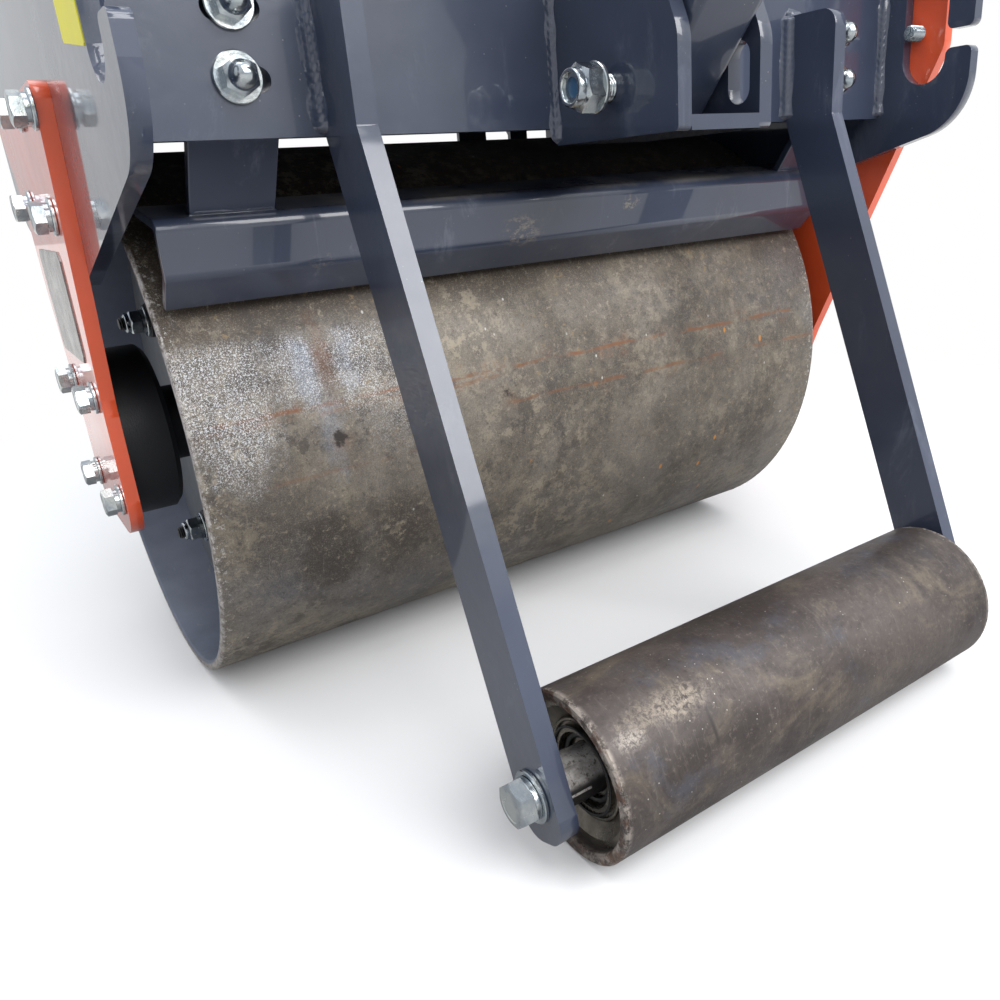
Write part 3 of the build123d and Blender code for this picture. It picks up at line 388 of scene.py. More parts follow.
class Nodes:
    """A tree of shader nodes. Each method adds nodes and returns an output socket."""

    def __init__(self, tree, coordinates="Object"):
        self.tree = tree
        tree.nodes.clear()
        self.place = self.add("TexCoord").outputs[coordinates]
        self.wander = None

    def add(self, kind):
        """Adds a node and returns the node itself."""
        return self.tree.nodes.new("ShaderNode" + kind)

    def link(self, value, socket):
        """Gives a socket its value: another socket, a colour or a number."""
        if isinstance(value, bpy.types.NodeSocket):
            self.tree.links.new(value, socket)
        elif isinstance(value, tuple) and len(value) == 3 and socket.type == "RGBA":
            socket.default_value = (*value, 1.0)
        else:
            socket.default_value = value

    def moved(self, stretch, shift=(0, 0, 0)):
        """Object coordinates for a pattern, stretched and shifted."""
        if stretch is None and not any(shift):
            return self.place
        mapping = self.add("Mapping")
        self.link(self.place, mapping.inputs["Vector"])
        mapping.inputs["Scale"].default_value = stretch or (1, 1, 1)
        mapping.inputs["Location"].default_value = shift
        return mapping.outputs[0]

    def noise(self, scale, detail=3.0, rough=0.55, stretch=None, shift=(0, 0, 0), warp=0.0):
        node = self.add("TexNoise")
        node.inputs["Scale"].default_value = scale
        node.inputs["Detail"].default_value = detail
        node.inputs["Roughness"].default_value = rough
        node.inputs["Distortion"].default_value = warp
        self.link(self.moved(stretch, shift), node.inputs["Vector"])
        return node.outputs["Fac"]

    def cells(self, scale, stretch=None):
        """Distance to the nearest of scattered points."""
        node = self.add("TexVoronoi")
        node.inputs["Scale"].default_value = scale
        self.link(self.moved(stretch), node.inputs["Vector"])
        return node.outputs["Distance"]

    def step(self, value, low, high, first=0.0, last=1.0):
        """Smooth rise from first to last as value goes from low to high."""
        node = self.add("MapRange")
        node.interpolation_type = "SMOOTHSTEP"
        for name, given in (("Value", value), ("From Min", low), ("From Max", high),
                            ("To Min", first), ("To Max", last)):
            self.link(given, node.inputs[name])
        return node.outputs[0]

    def patches(self, low, high, *noise, **more):
        """Patches of noise with soft borders, 0 below low and 1 above high."""
        return self.step(self.noise(*noise, **more), low, high)

    def calc(self, operation, first, second=0.5, third=0.5):
        node = self.add("Math")
        node.operation = operation
        for value, socket in zip((first, second, third), node.inputs):
            self.link(value, socket)
        return node.outputs[0]

    def both(self, first, *others):
        """Product of masks and strengths."""
        for other in others:
            first = self.calc("MULTIPLY", first, other)
        return first

    def mix(self, factor, first, second):
        node = self.add("Mix")
        node.data_type = "RGBA"
        for value, index in ((factor, 0), (first, 6), (second, 7)):
            self.link(value, node.inputs[index])
        return node.outputs[2]

    def blend(self, factor, first, second):
        """Mixes two shaders."""
        node = self.add("MixShader")
        for value, socket in zip((factor, first, second), node.inputs):
            self.link(value, socket)
        return node.outputs[0]

    def coordinate(self, letter):
        node = self.add("SeparateXYZ")
        self.link(self.place, node.inputs[0])
        return node.outputs[letter]

    def upward(self, low=0.45, high=0.95):
        """1 where the surface looks up, 0 where it looks sideways or down."""
        split = self.add("SeparateXYZ")
        self.link(self.add("NewGeometry").outputs["Normal"], split.inputs[0])
        return self.step(split.outputs["Z"], low, high)

    def vector(self, operation, first, second=(0, 0, 0)):
        node = self.add("VectorMath")
        node.operation = operation
        self.link(first, node.inputs[0])
        node.inputs[1].default_value = second
        return node.outputs

    def away(self, x, y, z, scale=(1, 1, 1)):
        """Distance in millimetres from a place given in millimetres about the drum; each
        axis counts as much as its scale says."""
        offset = self.vector("SUBTRACT", self.place, at(x, y, z))[0]
        stretched = self.vector("MULTIPLY", offset, tuple(1000 * part for part in scale))[0]
        return self.vector("LENGTH", stretched)["Value"]

    def near(self, x, y, z, reach, soft, scale=(1, 1, 1), ragged=0.0):
        """1 within reach of a place, falling to 0; ragged lets the border wander."""
        distance = self.away(x, y, z, scale)
        if ragged:
            if self.wander is None:
                self.wander = self.calc("SUBTRACT", self.noise(70.0, 6.0, 0.7), 0.5)
            distance = self.calc("MULTIPLY_ADD", self.wander, ragged, distance)
        return self.step(distance, reach + soft, reach)

    def about(self, y, z):
        """Angle in degrees above the line towards the operator, and distance in
        millimetres, about an axle along X at y and z metres of the row frame."""
        back = self.calc("SUBTRACT", y, self.coordinate("Y"))
        rise = self.calc("SUBTRACT", self.coordinate("Z"), z)
        angle = self.calc("DEGREES", self.calc("ARCTAN2", rise, back))
        square = self.calc("ADD", self.calc("MULTIPLY", back, back), self.calc("MULTIPLY", rise, rise))
        return angle, self.calc("MULTIPLY", self.calc("SQRT", square), 1000.0)

    def along(self):
        """Millimetres along X from the middle of the drum."""
        return self.calc("MULTIPLY", self.calc("SUBTRACT", self.coordinate("X"), DRUM_X), 1000.0)

    def line(self, value, place, width, wander=0.0, seed=0.0):
        """1 on a line where value equals place, falling to 0 a width away."""
        if wander:
            drift = self.calc("SUBTRACT", self.noise(24.0, 4.0, 0.6, shift=(seed, 0, 0)), 0.5)
            value = self.calc("MULTIPLY_ADD", drift, wander, value)
        return self.step(self.calc("ABSOLUTE", self.calc("SUBTRACT", value, place)), width, width * 0.3)


class Finish(Nodes):
    """One material: a principled surface whose tone is laid on colour by colour."""

    def __init__(self, name, **constants):
        self.material = bpy.data.materials.new(name)
        self.material.use_nodes = True
        super().__init__(self.material.node_tree)
        self.surface = self.add("BsdfPrincipled")
        self.link(self.surface.outputs[0], self.add("OutputMaterial").inputs[0])
        self.tone = None
        for key, value in constants.items():
            self.set(key.replace("_", " ").capitalize(), value)

    def set(self, name, value):
        names = {"Specular": "Specular IOR Level", "Coat weight": "Coat Weight",
                 "Coat roughness": "Coat Roughness", "Base colour": "Base Color"}
        self.link(value, self.surface.inputs[names.get(name, name)])

    def wash(self, colour, mask, strength=1.0):
        """Lays a colour, as it looks on screen, over the tone where the mask is near 1."""
        mask = mask if strength == 1.0 else self.both(mask, strength)
        self.tone = self.mix(mask, self.tone, srgb(*colour))

    def relief(self, height, distance):
        node = self.add("Bump")
        node.inputs["Distance"].default_value = distance / 1000
        self.link(height, node.inputs["Height"])
        self.link(node.outputs[0], self.surface.inputs["Normal"])

    def done(self, height, depth):
        """Takes the tone and a relief of so many millimetres, and gives the material."""
        self.set("Base colour", self.tone)
        self.relief(height, depth)
        return self.material


def powder_coat(name, colour, roughness=0.34, dust=0.16, peel=0.10, coat=1.0, polish=0.05,
                scuffs=()):
    """Sprayed paint: a faint drift of tone, orange peel, dust where it looks up, dried
    water marks, small pale specks, and scuffs at the places given."""
    f = Finish(name, coat_weight=coat, coat_roughness=polish)
    deep = tuple(c * 0.84 for c in colour)
    light = tuple(min(1.0, c * 1.14 + 0.002) for c in colour)
    f.tone = f.mix(f.patches(0.3, 0.7, 6.0, 4.0, 0.6), deep, light)
    marks = f.patches(0.54, 0.76, 30.0, 8.0, 0.74, stretch=(1, 1, 0.35), warp=0.7)
    f.wash((150, 156, 172), marks, dust * 1.1)
    film = f.both(f.patches(0.40, 0.72, 24.0, 6.0, 0.7), f.upward())
    f.wash((142, 136, 128), film, dust * 2.4)
    specks = f.both(f.step(f.cells(230.0), 0.11, 0.06), f.patches(0.57, 0.64, 37.0, 2.0))
    f.wash((172, 172, 170), specks, 0.4)
    for x, y, z, reach, soft in scuffs:
        mark = f.near(x, y, z, reach, soft, scale=(0.8, 1, 1.3), ragged=16.0)
        rubbed = f.patches(0.47, 0.60, 260.0, 6.0, 0.8, stretch=(0.5, 1, 1))
        f.wash((138, 128, 112), f.both(mark, rubbed), 0.75)
    f.set("Roughness", f.step(f.noise(16.0, 5.0, 0.7), 0.25, 0.8, roughness * 0.82, roughness * 1.3))
    waves = f.both(f.noise(46.0, 2.0, 0.5), 3.0)
    return f.done(f.calc("ADD", waves, f.both(f.noise(300.0, 2.0, 0.5), 0.5)), peel)


# Marks, painted glints and painted sky reflection on the drum: the places are those of the photograph, in
# millimetres about the drum
# Painted glints: patches of white specks where the drum catches the sky
DRUM_GLINTS = (
    # x, y, z, reach, soft, strength
    (-264.0, -195.0, 254.0, 20.0, 26.0, 1.00),
    (-262.0, -202.0, 222.0, 6.0, 24.0, 0.70),
    (-150.0, -193.0, 266.0, 14.0, 44.0, 0.55),
    (-212.0, -192.0, 264.0, 10.0, 20.0, 0.85),
    (-176.0, -193.0, 262.0, 8.0, 18.0, 0.70),
)
# Painted sky reflection: bluish pale bands that run round the drum
DRUM_SKY_SHEEN = (
    # x, y, z, reach, soft, strength
    (-209.0, -192.0, 264.0, 2.0, 9.0, 0.62),
    (-180.0, -192.0, 264.0, 1.0, 8.0, 0.50),
    (-200.0, -202.0, 224.0, 2.0, 11.0, 0.38),
)
DRUM_RUST_LINES = (
    # angle above the axle, from x, to x, strength
    (10.2, -286.0, 256.0, 0.90),
    (8.8, -286.0, -60.0, 0.60),
    (2.9, -60.0, 284.0, 0.70),
    (-2.5, -250.0, -100.0, 0.35),
)
DRUM_STAINS = (
    # x, y, z, reach, soft, strength
    (-209.0, -190.0, 131.0, 15.0, 17.0, 0.85),
    (-153.0, -193.0, 138.0, 8.0, 26.0, 0.60),
    (-112.0, -199.0, 160.0, 5.0, 18.0, 0.50),
    (60.0, -202.0, 216.0, 6.0, 22.0, 0.40),
    (-243.0, -198.0, 160.0, 8.0, 30.0, 0.40),
)
# Two small pits, as x and z, and their y
DRUM_PITS = ((-193.5, 215.7), (-61.6, 218.3))
PIT_Y = -202.8


def drum_steel():
    """Rolled steel of the drum: brown-grey scale with pale and dark clouds, fine flakes,
    marks drawn round it, rust lines along it, a painted shadow under the scraper, painted
    glints and bands of painted sky reflection near one end, paint on the inside."""
    f = Finish("drum_steel")
    angle, radius = f.about(DRUM_Y, DRUM_R)
    along = f.along()
    end = f.calc("ABSOLUTE", along)
    f.tone = f.mix(f.patches(0.36, 0.64, 7.0, 10.0, 0.66, warp=0.35),
                   srgb(94, 87, 79), srgb(130, 123, 114))
    f.wash((150, 140, 122), f.patches(0.50, 0.66, 17.0, 8.0, 0.72, shift=(0.7, 0, 0), warp=0.5), 0.60)
    f.wash((76, 72, 69), f.patches(0.52, 0.66, 12.0, 9.0, 0.72, shift=(0, 0.9, 0), warp=0.4), 0.62)
    f.wash((112, 116, 126), f.patches(0.50, 0.66, 5.0, 5.0, 0.6, shift=(0, 0, 2.2)), 0.35)
    # Painted shadow of the scraper: a darker brown band high on the drum, stronger towards the left end
    f.wash((70, 58, 47), f.both(f.step(angle, 20.0, 31.0), f.step(along, 240.0, -150.0, 0.40, 0.85)))
    for *place, strength in DRUM_STAINS:
        f.wash((68, 61, 55), f.near(*place, scale=(1, 0.8, 0.62), ragged=34.0), strength)
    flaky = f.noise(215.0, 7.0, 0.78, warp=0.6)
    f.wash((176, 164, 142), f.step(flaky, 0.54, 0.66), 0.50)
    f.wash((62, 57, 53), f.step(flaky, 0.47, 0.35), 0.52)
    drawn = f.noise(520.0, 5.0, 0.72, stretch=(1, 0.12, 0.12))
    patchy = f.patches(0.42, 0.66, 18.0, 4.0, 0.6, shift=(8, 0, 0))
    f.wash((158, 150, 138), f.both(f.step(drawn, 0.56, 0.70), patchy), 0.30)
    f.wash((66, 62, 58), f.both(f.step(drawn, 0.44, 0.30), patchy), 0.34)
    grain = f.noise(1150.0, 4.0, 0.8)
    f.wash((178, 170, 156), f.step(grain, 0.53, 0.62), 0.26)
    f.wash((56, 51, 47), f.step(grain, 0.47, 0.38), 0.34)

    flakes = f.both(f.patches(0.515, 0.55, 70.0, 8.0, 0.82, shift=(0, 0, 7)),
                    f.patches(0.44, 0.58, 9.0, 4.0, shift=(0, 6, 0)))
    f.wash((168, 157, 137), f.both(flakes, f.step(along, 80.0, -120.0, 0.32, 0.62)))
    bruised = f.both(f.patches(0.52, 0.56, 46.0, 7.0, 0.78, shift=(4, 0, 7)),
                     f.patches(0.44, 0.56, 7.0, 4.0, shift=(7, 6, 0)))
    f.wash((70, 64, 60), f.both(bruised, f.step(along, 80.0, -120.0, 0.40, 0.68)))
    yellow = f.both(f.patches(0.58, 0.68, 150.0, 5.0, 0.7, shift=(3, 0, 0)),
                    f.patches(0.48, 0.62, 11.0, 4.0, shift=(0, 3, 0)))
    f.wash((158, 132, 92), yellow, 0.55)
    spread = f.both(f.patches(0.50, 0.64, 60.0, 7.0, 0.8), 0.5)
    for place, start, stop, strength in DRUM_RUST_LINES:
        streak = f.line(angle, place, 0.62, wander=2.0, seed=place)
        reach = f.both(f.step(along, start - 6, start + 6), f.step(along, stop + 6, stop - 6))
        broken = f.patches(0.42, 0.56, 46.0, 6.0, 0.75, stretch=(0.4, 1, 1), shift=(place, 0, 0))
        halo = f.both(f.line(angle, place, 4.0), spread)
        f.wash((128, 88, 62), f.both(f.calc("MAXIMUM", streak, halo), reach, broken), strength)
    amber = f.both(f.step(f.cells(58.0, stretch=(1, 0.6, 0.6)), 0.13, 0.07),
                   f.patches(0.50, 0.58, 9.0, 3.0, shift=(0, 0, 5)))
    f.wash((208, 138, 58), f.both(amber, f.step(along, -130.0, -60.0)), 0.85)
    nicks = f.both(f.step(f.cells(110.0, stretch=(1, 0.7, 0.7)), 0.12, 0.06),
                   f.patches(0.56, 0.64, 21.0, 3.0, shift=(5, 0, 0)))
    f.wash((214, 212, 206), nicks, 0.8)

    # Painted glints and painted sky reflection are kept under 22 to 25.5 degrees, out of the scraper's
    # shadow
    below = f.step(angle, 25.5, 22.0)
    broken = f.step(grain, 0.44, 0.54, 0.25, 1.0)
    # Painted sky reflection: bluish pale bands round the drum, broken up by the grain
    for *place, strength in DRUM_SKY_SHEEN:
        sky_sheen = f.near(*place, scale=(1.0, 0.30, 0.30), ragged=26.0)
        f.wash((150, 160, 176), f.both(sky_sheen, broken, below), strength)
    # Painted glints: fine white specks of sky light in patches near the left end
    glint_specks = f.patches(0.515, 0.58, 1050.0, 5.0, 0.85)
    for *place, strength in DRUM_GLINTS:
        patch = f.near(*place, scale=(1, 0.6, 0.72), ragged=46.0)
        f.wash((222, 224, 228), f.both(glint_specks, patch, below), strength)
    run = f.near(-195.5, -192.0, 266.0, 0.5, 9.0, scale=(1.0, 0.30, 0.24), ragged=22.0)
    f.wash((112, 80, 60), f.both(run, f.step(flaky, 0.34, 0.60, 0.9, 0.45)))
    for x, z in DRUM_PITS:
        f.wash((128, 96, 68), f.near(x, PIT_Y, z - 3.0, 0.0, 12.0, ragged=30.0), 0.35)
        f.wash((44, 40, 38), f.near(x, PIT_Y, z, 0.5, 4.0, scale=(0.8, 1, 0.7), ragged=26.0), 0.9)
    f.wash((176, 170, 168), f.both(f.step(end, 286.6, 288.2), f.patches(0.40, 0.58, 150.0, 6.0, 0.8)))
    chips = f.both(f.step(end, 272.0, 287.0), f.patches(0.55, 0.61, 300.0, 6.0, 0.85))
    f.wash((206, 202, 196), chips, 0.8)

    steel = f.tone
    f.tone = f.mix(f.patches(0.3, 0.7, 12.0, 5.0), srgb(84, 91, 107), srgb(104, 111, 127))
    f.wash((150, 140, 118), f.patches(0.64, 0.70, 60.0, 6.0, 0.7, stretch=(1, 0.3, 0.3)), 0.5)
    inside = f.step(radius, 198.6, 196.4)
    f.tone = f.mix(inside, steel, f.tone)
    f.set("Metallic", f.step(inside, 0.0, 1.0, 0.30, 0.0))
    f.set("Roughness", f.step(f.noise(18.0, 6.0, 0.7), 0.3, 0.75, 0.44, 0.68))
    return f.done(f.calc("ADD", flaky, f.both(grain, 0.5)), 0.20)


def roller_steel():
    """Small roller: dark brown steel, beige and blue-grey clouds, fine marks, white nicks
    and a chipped edge."""
    f = Finish("roller_steel", metallic=0.35)
    end = f.calc("ABSOLUTE", f.along())
    f.tone = f.mix(f.patches(0.36, 0.66, 11.0, 9.0, 0.68, warp=0.6), srgb(62, 55, 53), srgb(88, 80, 76))
    f.wash((120, 109, 94), f.patches(0.50, 0.68, 19.0, 9.0, 0.72, stretch=(0.7, 1, 1), warp=1.0), 0.62)
    f.wash((80, 83, 94), f.patches(0.54, 0.68, 14.0, 6.0, 0.66, shift=(0, 4, 0)), 0.55)
    f.wash((52, 44, 45), f.patches(0.52, 0.66, 10.0, 7.0, 0.7, shift=(6, 0, 0)), 0.55)
    fine = f.noise(300.0, 6.0, 0.78, warp=0.4)
    f.wash((134, 124, 110), f.step(fine, 0.54, 0.68), 0.42)
    f.wash((42, 37, 37), f.step(fine, 0.46, 0.34), 0.42)
    f.wash((140, 132, 124), f.patches(0.56, 0.70, 520.0, 4.0, 0.66, stretch=(1, 0.09, 0.09)), 0.16)
    sparks = f.both(f.step(f.cells(210.0), 0.105, 0.06), f.patches(0.52, 0.60, 26.0, 3.0))
    f.wash((206, 200, 190), sparks, 0.7)
    bare = f.near(-151.9, -446.8, 89.7, 0.0, 9.0, scale=(0.6, 1, 1), ragged=16.0)
    f.wash((172, 164, 154), f.both(bare, f.patches(0.42, 0.58, 420.0, 5.0, 0.8)), 0.6)
    smear = f.near(-118.0, -441.0, 94.0, 2.0, 14.0, scale=(0.34, 1.2, 1.2), ragged=20.0)
    f.wash((166, 154, 138), f.both(smear, f.step(fine, 0.40, 0.60)), 0.6)
    scar = f.near(-101.0, -455.0, 79.0, 0.3, 1.6, scale=(1.0, 0.10, 0.13), ragged=1.5)
    f.wash((48, 42, 42), scar, 0.8)
    worn = f.both(f.step(end, 165.5, 169.6), f.patches(0.42, 0.56, 100.0, 6.0, 0.8))
    f.wash((176, 166, 156), worn, 0.75)
    rust = f.both(f.step(end, 168.2, 170.2), f.patches(0.48, 0.60, 80.0, 6.0, 0.7, shift=(2, 0, 0)))
    f.wash((104, 74, 58), rust, 0.8)
    f.set("Roughness", f.step(f.noise(22.0, 6.0, 0.7), 0.3, 0.75, 0.36, 0.60))
    return f.done(f.calc("ADD", fine, f.both(worn, 2.5)), 0.18)


def zinc_plate():
    """Zinc-plated fasteners: bright, a little uneven, with a warm or cool cast."""
    f = Finish("zinc_plate", metallic=1.0)
    f.tone = f.mix(f.patches(0.35, 0.65, 70.0, 4.0), srgb(164, 173, 180), srgb(202, 206, 204))
    f.wash((120, 118, 112), f.patches(0.55, 0.75, 420.0, 5.0, 0.7), 0.35)
    f.set("Roughness", f.step(f.noise(160.0, 5.0, 0.7), 0.3, 0.75, 0.13, 0.30))
    return f.done(f.noise(520.0, 4.0, 0.6), 0.05)


def cast_metal(name, dark, light, metallic=0.9, roughness=0.42, grain=0.14):
    """Cast or machined metal: two tones in clouds and a sandy skin."""
    f = Finish(name, metallic=metallic)
    tone = f.mix(f.patches(0.32, 0.70, 26.0, 6.0, 0.65), dark, light)
    spots = f.both(f.patches(0.60, 0.72, 240.0, 4.0, 0.7), 0.4)
    f.tone = f.mix(spots, tone, tuple(c * 0.4 for c in dark))
    f.set("Roughness", f.step(f.noise(60.0, 5.0, 0.7), 0.3, 0.75, roughness * 0.8, roughness * 1.3))
    return f.done(f.noise(640.0, 3.0, 0.6), grain)


def moulded(name, colour, roughness=0.5, grain=0.06, scuff=0.25):
    """Moulded plastic or rubber: even colour, fine leather grain, pale scuffs."""
    f = Finish(name)
    light = tuple(min(1.0, c * 1.25 + 0.004) for c in colour)
    f.tone = f.mix(f.patches(0.3, 0.7, 8.0, 4.0), colour, light)
    f.wash((120, 118, 114), f.patches(0.60, 0.78, 34.0, 8.0, 0.72, warp=0.5), scuff)
    f.set("Roughness", f.step(f.noise(30.0, 4.0), 0.3, 0.7, roughness * 0.85, roughness * 1.15))
    return f.done(f.cells(900.0), grain)


def exposed_axle():
    """End of the roller's axle: pale pitted steel on the flats that look up, painted shade on the flats
    that look sideways or down.
    """
    f = Finish("exposed_axle", metallic=0.4)
    f.tone = f.mix(f.patches(0.35, 0.65, 90.0, 6.0, 0.7), srgb(132, 128, 124), srgb(182, 178, 174))
    f.wash((72, 62, 56), f.patches(0.54, 0.62, 420.0, 5.0, 0.8), 0.85)
    f.wash((128, 78, 52), f.patches(0.62, 0.68, 60.0, 5.0, 0.7, shift=(4, 0, 0)), 0.7)
    # Painted shade: flats that look sideways or down are made dark grey
    f.tone = f.mix(f.upward(0.15, 0.45), srgb(46, 44, 43), f.tone)
    f.set("Roughness", f.step(f.noise(90.0, 4.0), 0.3, 0.7, 0.4, 0.7))
    return f.done(f.noise(420.0, 5.0, 0.8), 0.30)


FINISH = {}
SCRAPER_SCUFFS = (
    # x, y, z, reach, soft
    (-40.3, -204.0, 335.6, 6.0, 12.0),
    (60.0, -206.0, 348.0, 2.0, 8.0),
    (-190.0, -204.0, 330.0, 0.0, 8.0),
)


def mix_finishes(settings):
    """Makes every material once, from the colours of the panel."""
    paint, carrier = tuple(settings.frame_colour), tuple(settings.carrier_colour)
    FINISH.update(
        frame_paint=powder_coat("frame_paint", paint, settings.gloss),
        scraper_paint=powder_coat("scraper_paint", paint, settings.gloss, dust=0.27,
                                  scuffs=SCRAPER_SCUFFS),
        carrier_paint=powder_coat("carrier_paint", carrier, 0.34, dust=0.05, peel=0.06),
        drum=drum_steel(),
        roller=roller_steel(),
        zinc=zinc_plate(),
        web=powder_coat("web_paint", srgb(98, 102, 106), 0.5, dust=0.3, coat=0.15, polish=0.3),
        hub=moulded("hub_rubber", srgb(16, 17, 21), 0.5, scuff=0.05),
        axle=exposed_axle(),
        housing=cast_metal("housing_steel", srgb(70, 66, 62), srgb(132, 125, 114), 0.8, 0.30),
        seal=moulded("seal_rubber", srgb(14, 14, 15), 0.42, scuff=0.05),
        black=moulded("black_plastic", srgb(28, 28, 30), 0.5),
        grip=moulded("grip_rubber", srgb(20, 20, 21), 0.72, grain=0.12),
        cover=moulded("engine_cover", srgb(54, 58, 62), 0.3, grain=0.02, scuff=0.12),
        tank=moulded("tank_plastic", srgb(46, 52, 62), 0.52, grain=0.10),
        alloy=cast_metal("engine_alloy", srgb(142, 143, 144), srgb(188, 188, 186), 0.85, 0.42, 0.22),
        heat=cast_metal("silencer_steel", srgb(112, 104, 96), srgb(168, 162, 152), 0.95, 0.34, 0.04),
        iron=cast_metal("pump_iron", srgb(34, 35, 38), srgb(56, 57, 60), 0.3, 0.45, 0.22),
        tag=moulded("yellow_tag", srgb(232, 222, 60), 0.4, grain=0.01, scuff=0.05),
        tie=moulded("cable_clip", srgb(36, 38, 42), 0.4, grain=0.01, scuff=0.1),
        blank=cast_metal("blank_plate", srgb(118, 114, 112), srgb(150, 147, 145), 0.7, 0.25, 0.02),
        nylon=moulded("nylon_ring", srgb(52, 88, 120), 0.35, grain=0.01, scuff=0.05),
    )


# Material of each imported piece
NODE_FINISH = {
    "frame_paint": (
        "side_plate_left", "side_plate_right", "rear_cross_plate", "front_cross_plate",
        "engine_deck", "arm_left", "arm_right", "handle_bracket", "lifting_bow", "tank_shelf",
        "drawbar", "handle_hoop", "spray_pipe",
    ),
    "scraper_paint": ("scraper_rear", "scraper_front"),
    "carrier_paint": ("carrier_left", "carrier_right", "motor_cover"),
    "hub": ("hub_left", "hub_right", "exciter_tube"),
    "drum": ("drum_shell",),
    "web": ("drum_web_left", "drum_web_right"),
    "roller": ("roller_tube",),
    "housing": ("roller_housing_left", "roller_housing_right"),
    "axle": ("roller_axle",),
    "zinc": ("drive_lever", "throttle_lever"),
    "grip": ("grip_left", "grip_right"),
    "black": ("console", "recoil_cover", "fuel_cap", "air_cleaner", "filler_cap"),
    "alloy": ("crankcase", "cylinder"),
    "cover": ("fan_shroud", "fuel_tank"),
    "heat": ("silencer",),
    "iron": ("pump",),
    "tank": ("water_tank",),
}
# Plates whose sharp edges get a small round
SOFT_EDGES = {
    "side_plate_left": 1.2, "side_plate_right": 1.2, "engine_deck": 0.8, "arm_left": 1.5,
    "arm_right": 1.5, "handle_bracket": 1.2, "scraper_rear": 1.0, "scraper_front": 1.0, "tank_shelf": 0.8,
    "lifting_bow": 1.0, "carrier_left": 0.9, "carrier_right": 0.9, "drum_shell": 0.5,
}


def colour_setting(label, text, value):
    return FloatVectorProperty(
        name=label, description=text, subtype="COLOR", size=3, min=0.0, max=1.0, default=value)


def number_setting(label, text, value, low, high, **more):
    return FloatProperty(name=label, description=text, default=value, min=low, max=high, **more)


class RollerPaint(bpy.types.PropertyGroup):
    """Colours and gloss of the painted parts."""

    frame_colour: colour_setting("Frame colour", "Anthracite paint of the frame", srgb(52, 60, 79))
    carrier_colour: colour_setting(
        "Carrier colour", "Red-orange paint of the carrier plates", srgb(238, 92, 48))
    gloss: number_setting(
        "Paint roughness", "Roughness of the frame's paint", 0.34, 0.05, 1.0, subtype="FACTOR")


class RollerFasteners(bpy.types.PropertyGroup):
    """Sizes of the hexagon fasteners."""

    flats: number_setting(
        "Carrier bolt flats", "Width across flats of the carrier bolts, mm", 18.0, 8.0, 30.0)
    dome_flats: number_setting(
        "Cap nut flats", "Width across flats of the cap nuts, mm", 17.0, 8.0, 30.0)
    axle_flats: number_setting(
        "Axle bolt flats", "Width across flats of the M16 bolts, mm", 24.0, 16.0, 36.0)


class RollerWelds(bpy.types.PropertyGroup):
    """Size of the weld beads."""

    leg: number_setting("Weld leg", "Leg length of the main fillet welds, mm", 7.0, 2.0, 12.0)
    seed: IntProperty(
        name="Weld seed", description="Start number for the wandering of the beads",
        min=0, max=999, default=7)


class RollerStage(bpy.types.PropertyGroup):
    """Floor, sky and lamps."""

    floor_colour: colour_setting("Floor colour", "Colour of the plain floor", (0.80, 0.80, 0.80))
    bounce_colour: colour_setting(
        "Bounce colour", "Colour with which the floor lights the machine", (0.34, 0.34, 0.34))
    fade_start: number_setting(
        "Fade start", "Distance from which the floor fades to white, m", 0.62, 0.1, 5.0)
    fade_end: number_setting(
        "Fade end", "Distance from which the floor is white, m", 1.15, 0.2, 9.0)
    sky: number_setting("Sky strength", "Strength of the even sky light", 0.95, 0.0, 3.0)
    key: number_setting(
        "Key lamp", "Power of the large lamp behind the operator", 58.0, 0.0, 500.0,
        subtype="POWER", unit="POWER")


# Operators


class ROLLER_OT_finishes(bpy.types.Operator):
    """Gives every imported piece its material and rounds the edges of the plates"""

    bl_idname = "roller.finishes"
    bl_label = "Finish packed pieces"

    def execute(self, context):
        mix_finishes(context.scene.roller_paint)
        for finish, names in NODE_FINISH.items():
            for name in names:
                node = frame["nodes"][name]
                for slot in node.material_slots:
                    slot.material = FINISH[finish]
        for name, width in SOFT_EDGES.items():
            node = frame["nodes"][name]
            weld = node.modifiers.new("Join corners", "WELD")
            weld.merge_threshold = 1e-6
            bevel = node.modifiers.new("Soft edges", "BEVEL")
            bevel.width = width / 1000
            bevel.segments = 2
            bevel.limit_method = "ANGLE"
            bevel.angle_limit = math.radians(38)
            bevel.harden_normals = True
        return {"FINISHED"}


# Thickness of the frame's plates and of the washers under a bolt head
PLATE_T = 9.5
FLAT_WASHER_T = 2.4
SPRING_WASHER_T = 3.0
# Hexagon bolts of the carrier plates: place on the plate, turn of the head
CARRIER_LEFT_BOLTS = (
    # y, z, turn
    (-50.0, 163.7, 8.0),
    (50.0, 163.7, 22.0),
    (-50.0, 242.7, 15.0),
    (50.0, 242.7, 3.0),
    (-86.0, 366.5, 12.0),
    (26.0, 374.0, 27.0),
    (-122.0, 426.0, 5.0),
    (-47.0, 431.0, 18.0),
)
CARRIER_RIGHT_BOLTS = (
    # y, z, turn
    (-280.0, 458.0, 4.0),
    (-120.0, 484.0, 19.0),
    (60.0, 484.0, 11.0),
    (196.0, 484.0, 25.0),
    (-110.0, 150.0, 14.0),
    (110.0, 150.0, 7.0),
    (-140.0, 272.0, 21.0),
    (140.0, 272.0, 2.0),
)
# Bolts behind this y come through the hook slot
HOOK_REAR = -270.0


def hex_bolt(place, direction, turn, flats, height=7.5, stack=True):
    """Bolt head on a flat washer, and in a stack on a spring washer too, as (surface, finish)
    pairs."""
    base = FLAT_WASHER_T
    forms = [(washer(flats * 0.66, base), "zinc")]
    if stack:
        forms.append((spring_washer(flats * 0.5, 2.6, base + 0.2), "zinc"))
        forms.append((rod(flats * 0.36, base, base + SPRING_WASHER_T, 24), "zinc"))
        base += SPRING_WASHER_T
    forms.append((hex_head(flats, height, base), "zinc"))
    return fitted(place, direction, *forms, turn=turn)


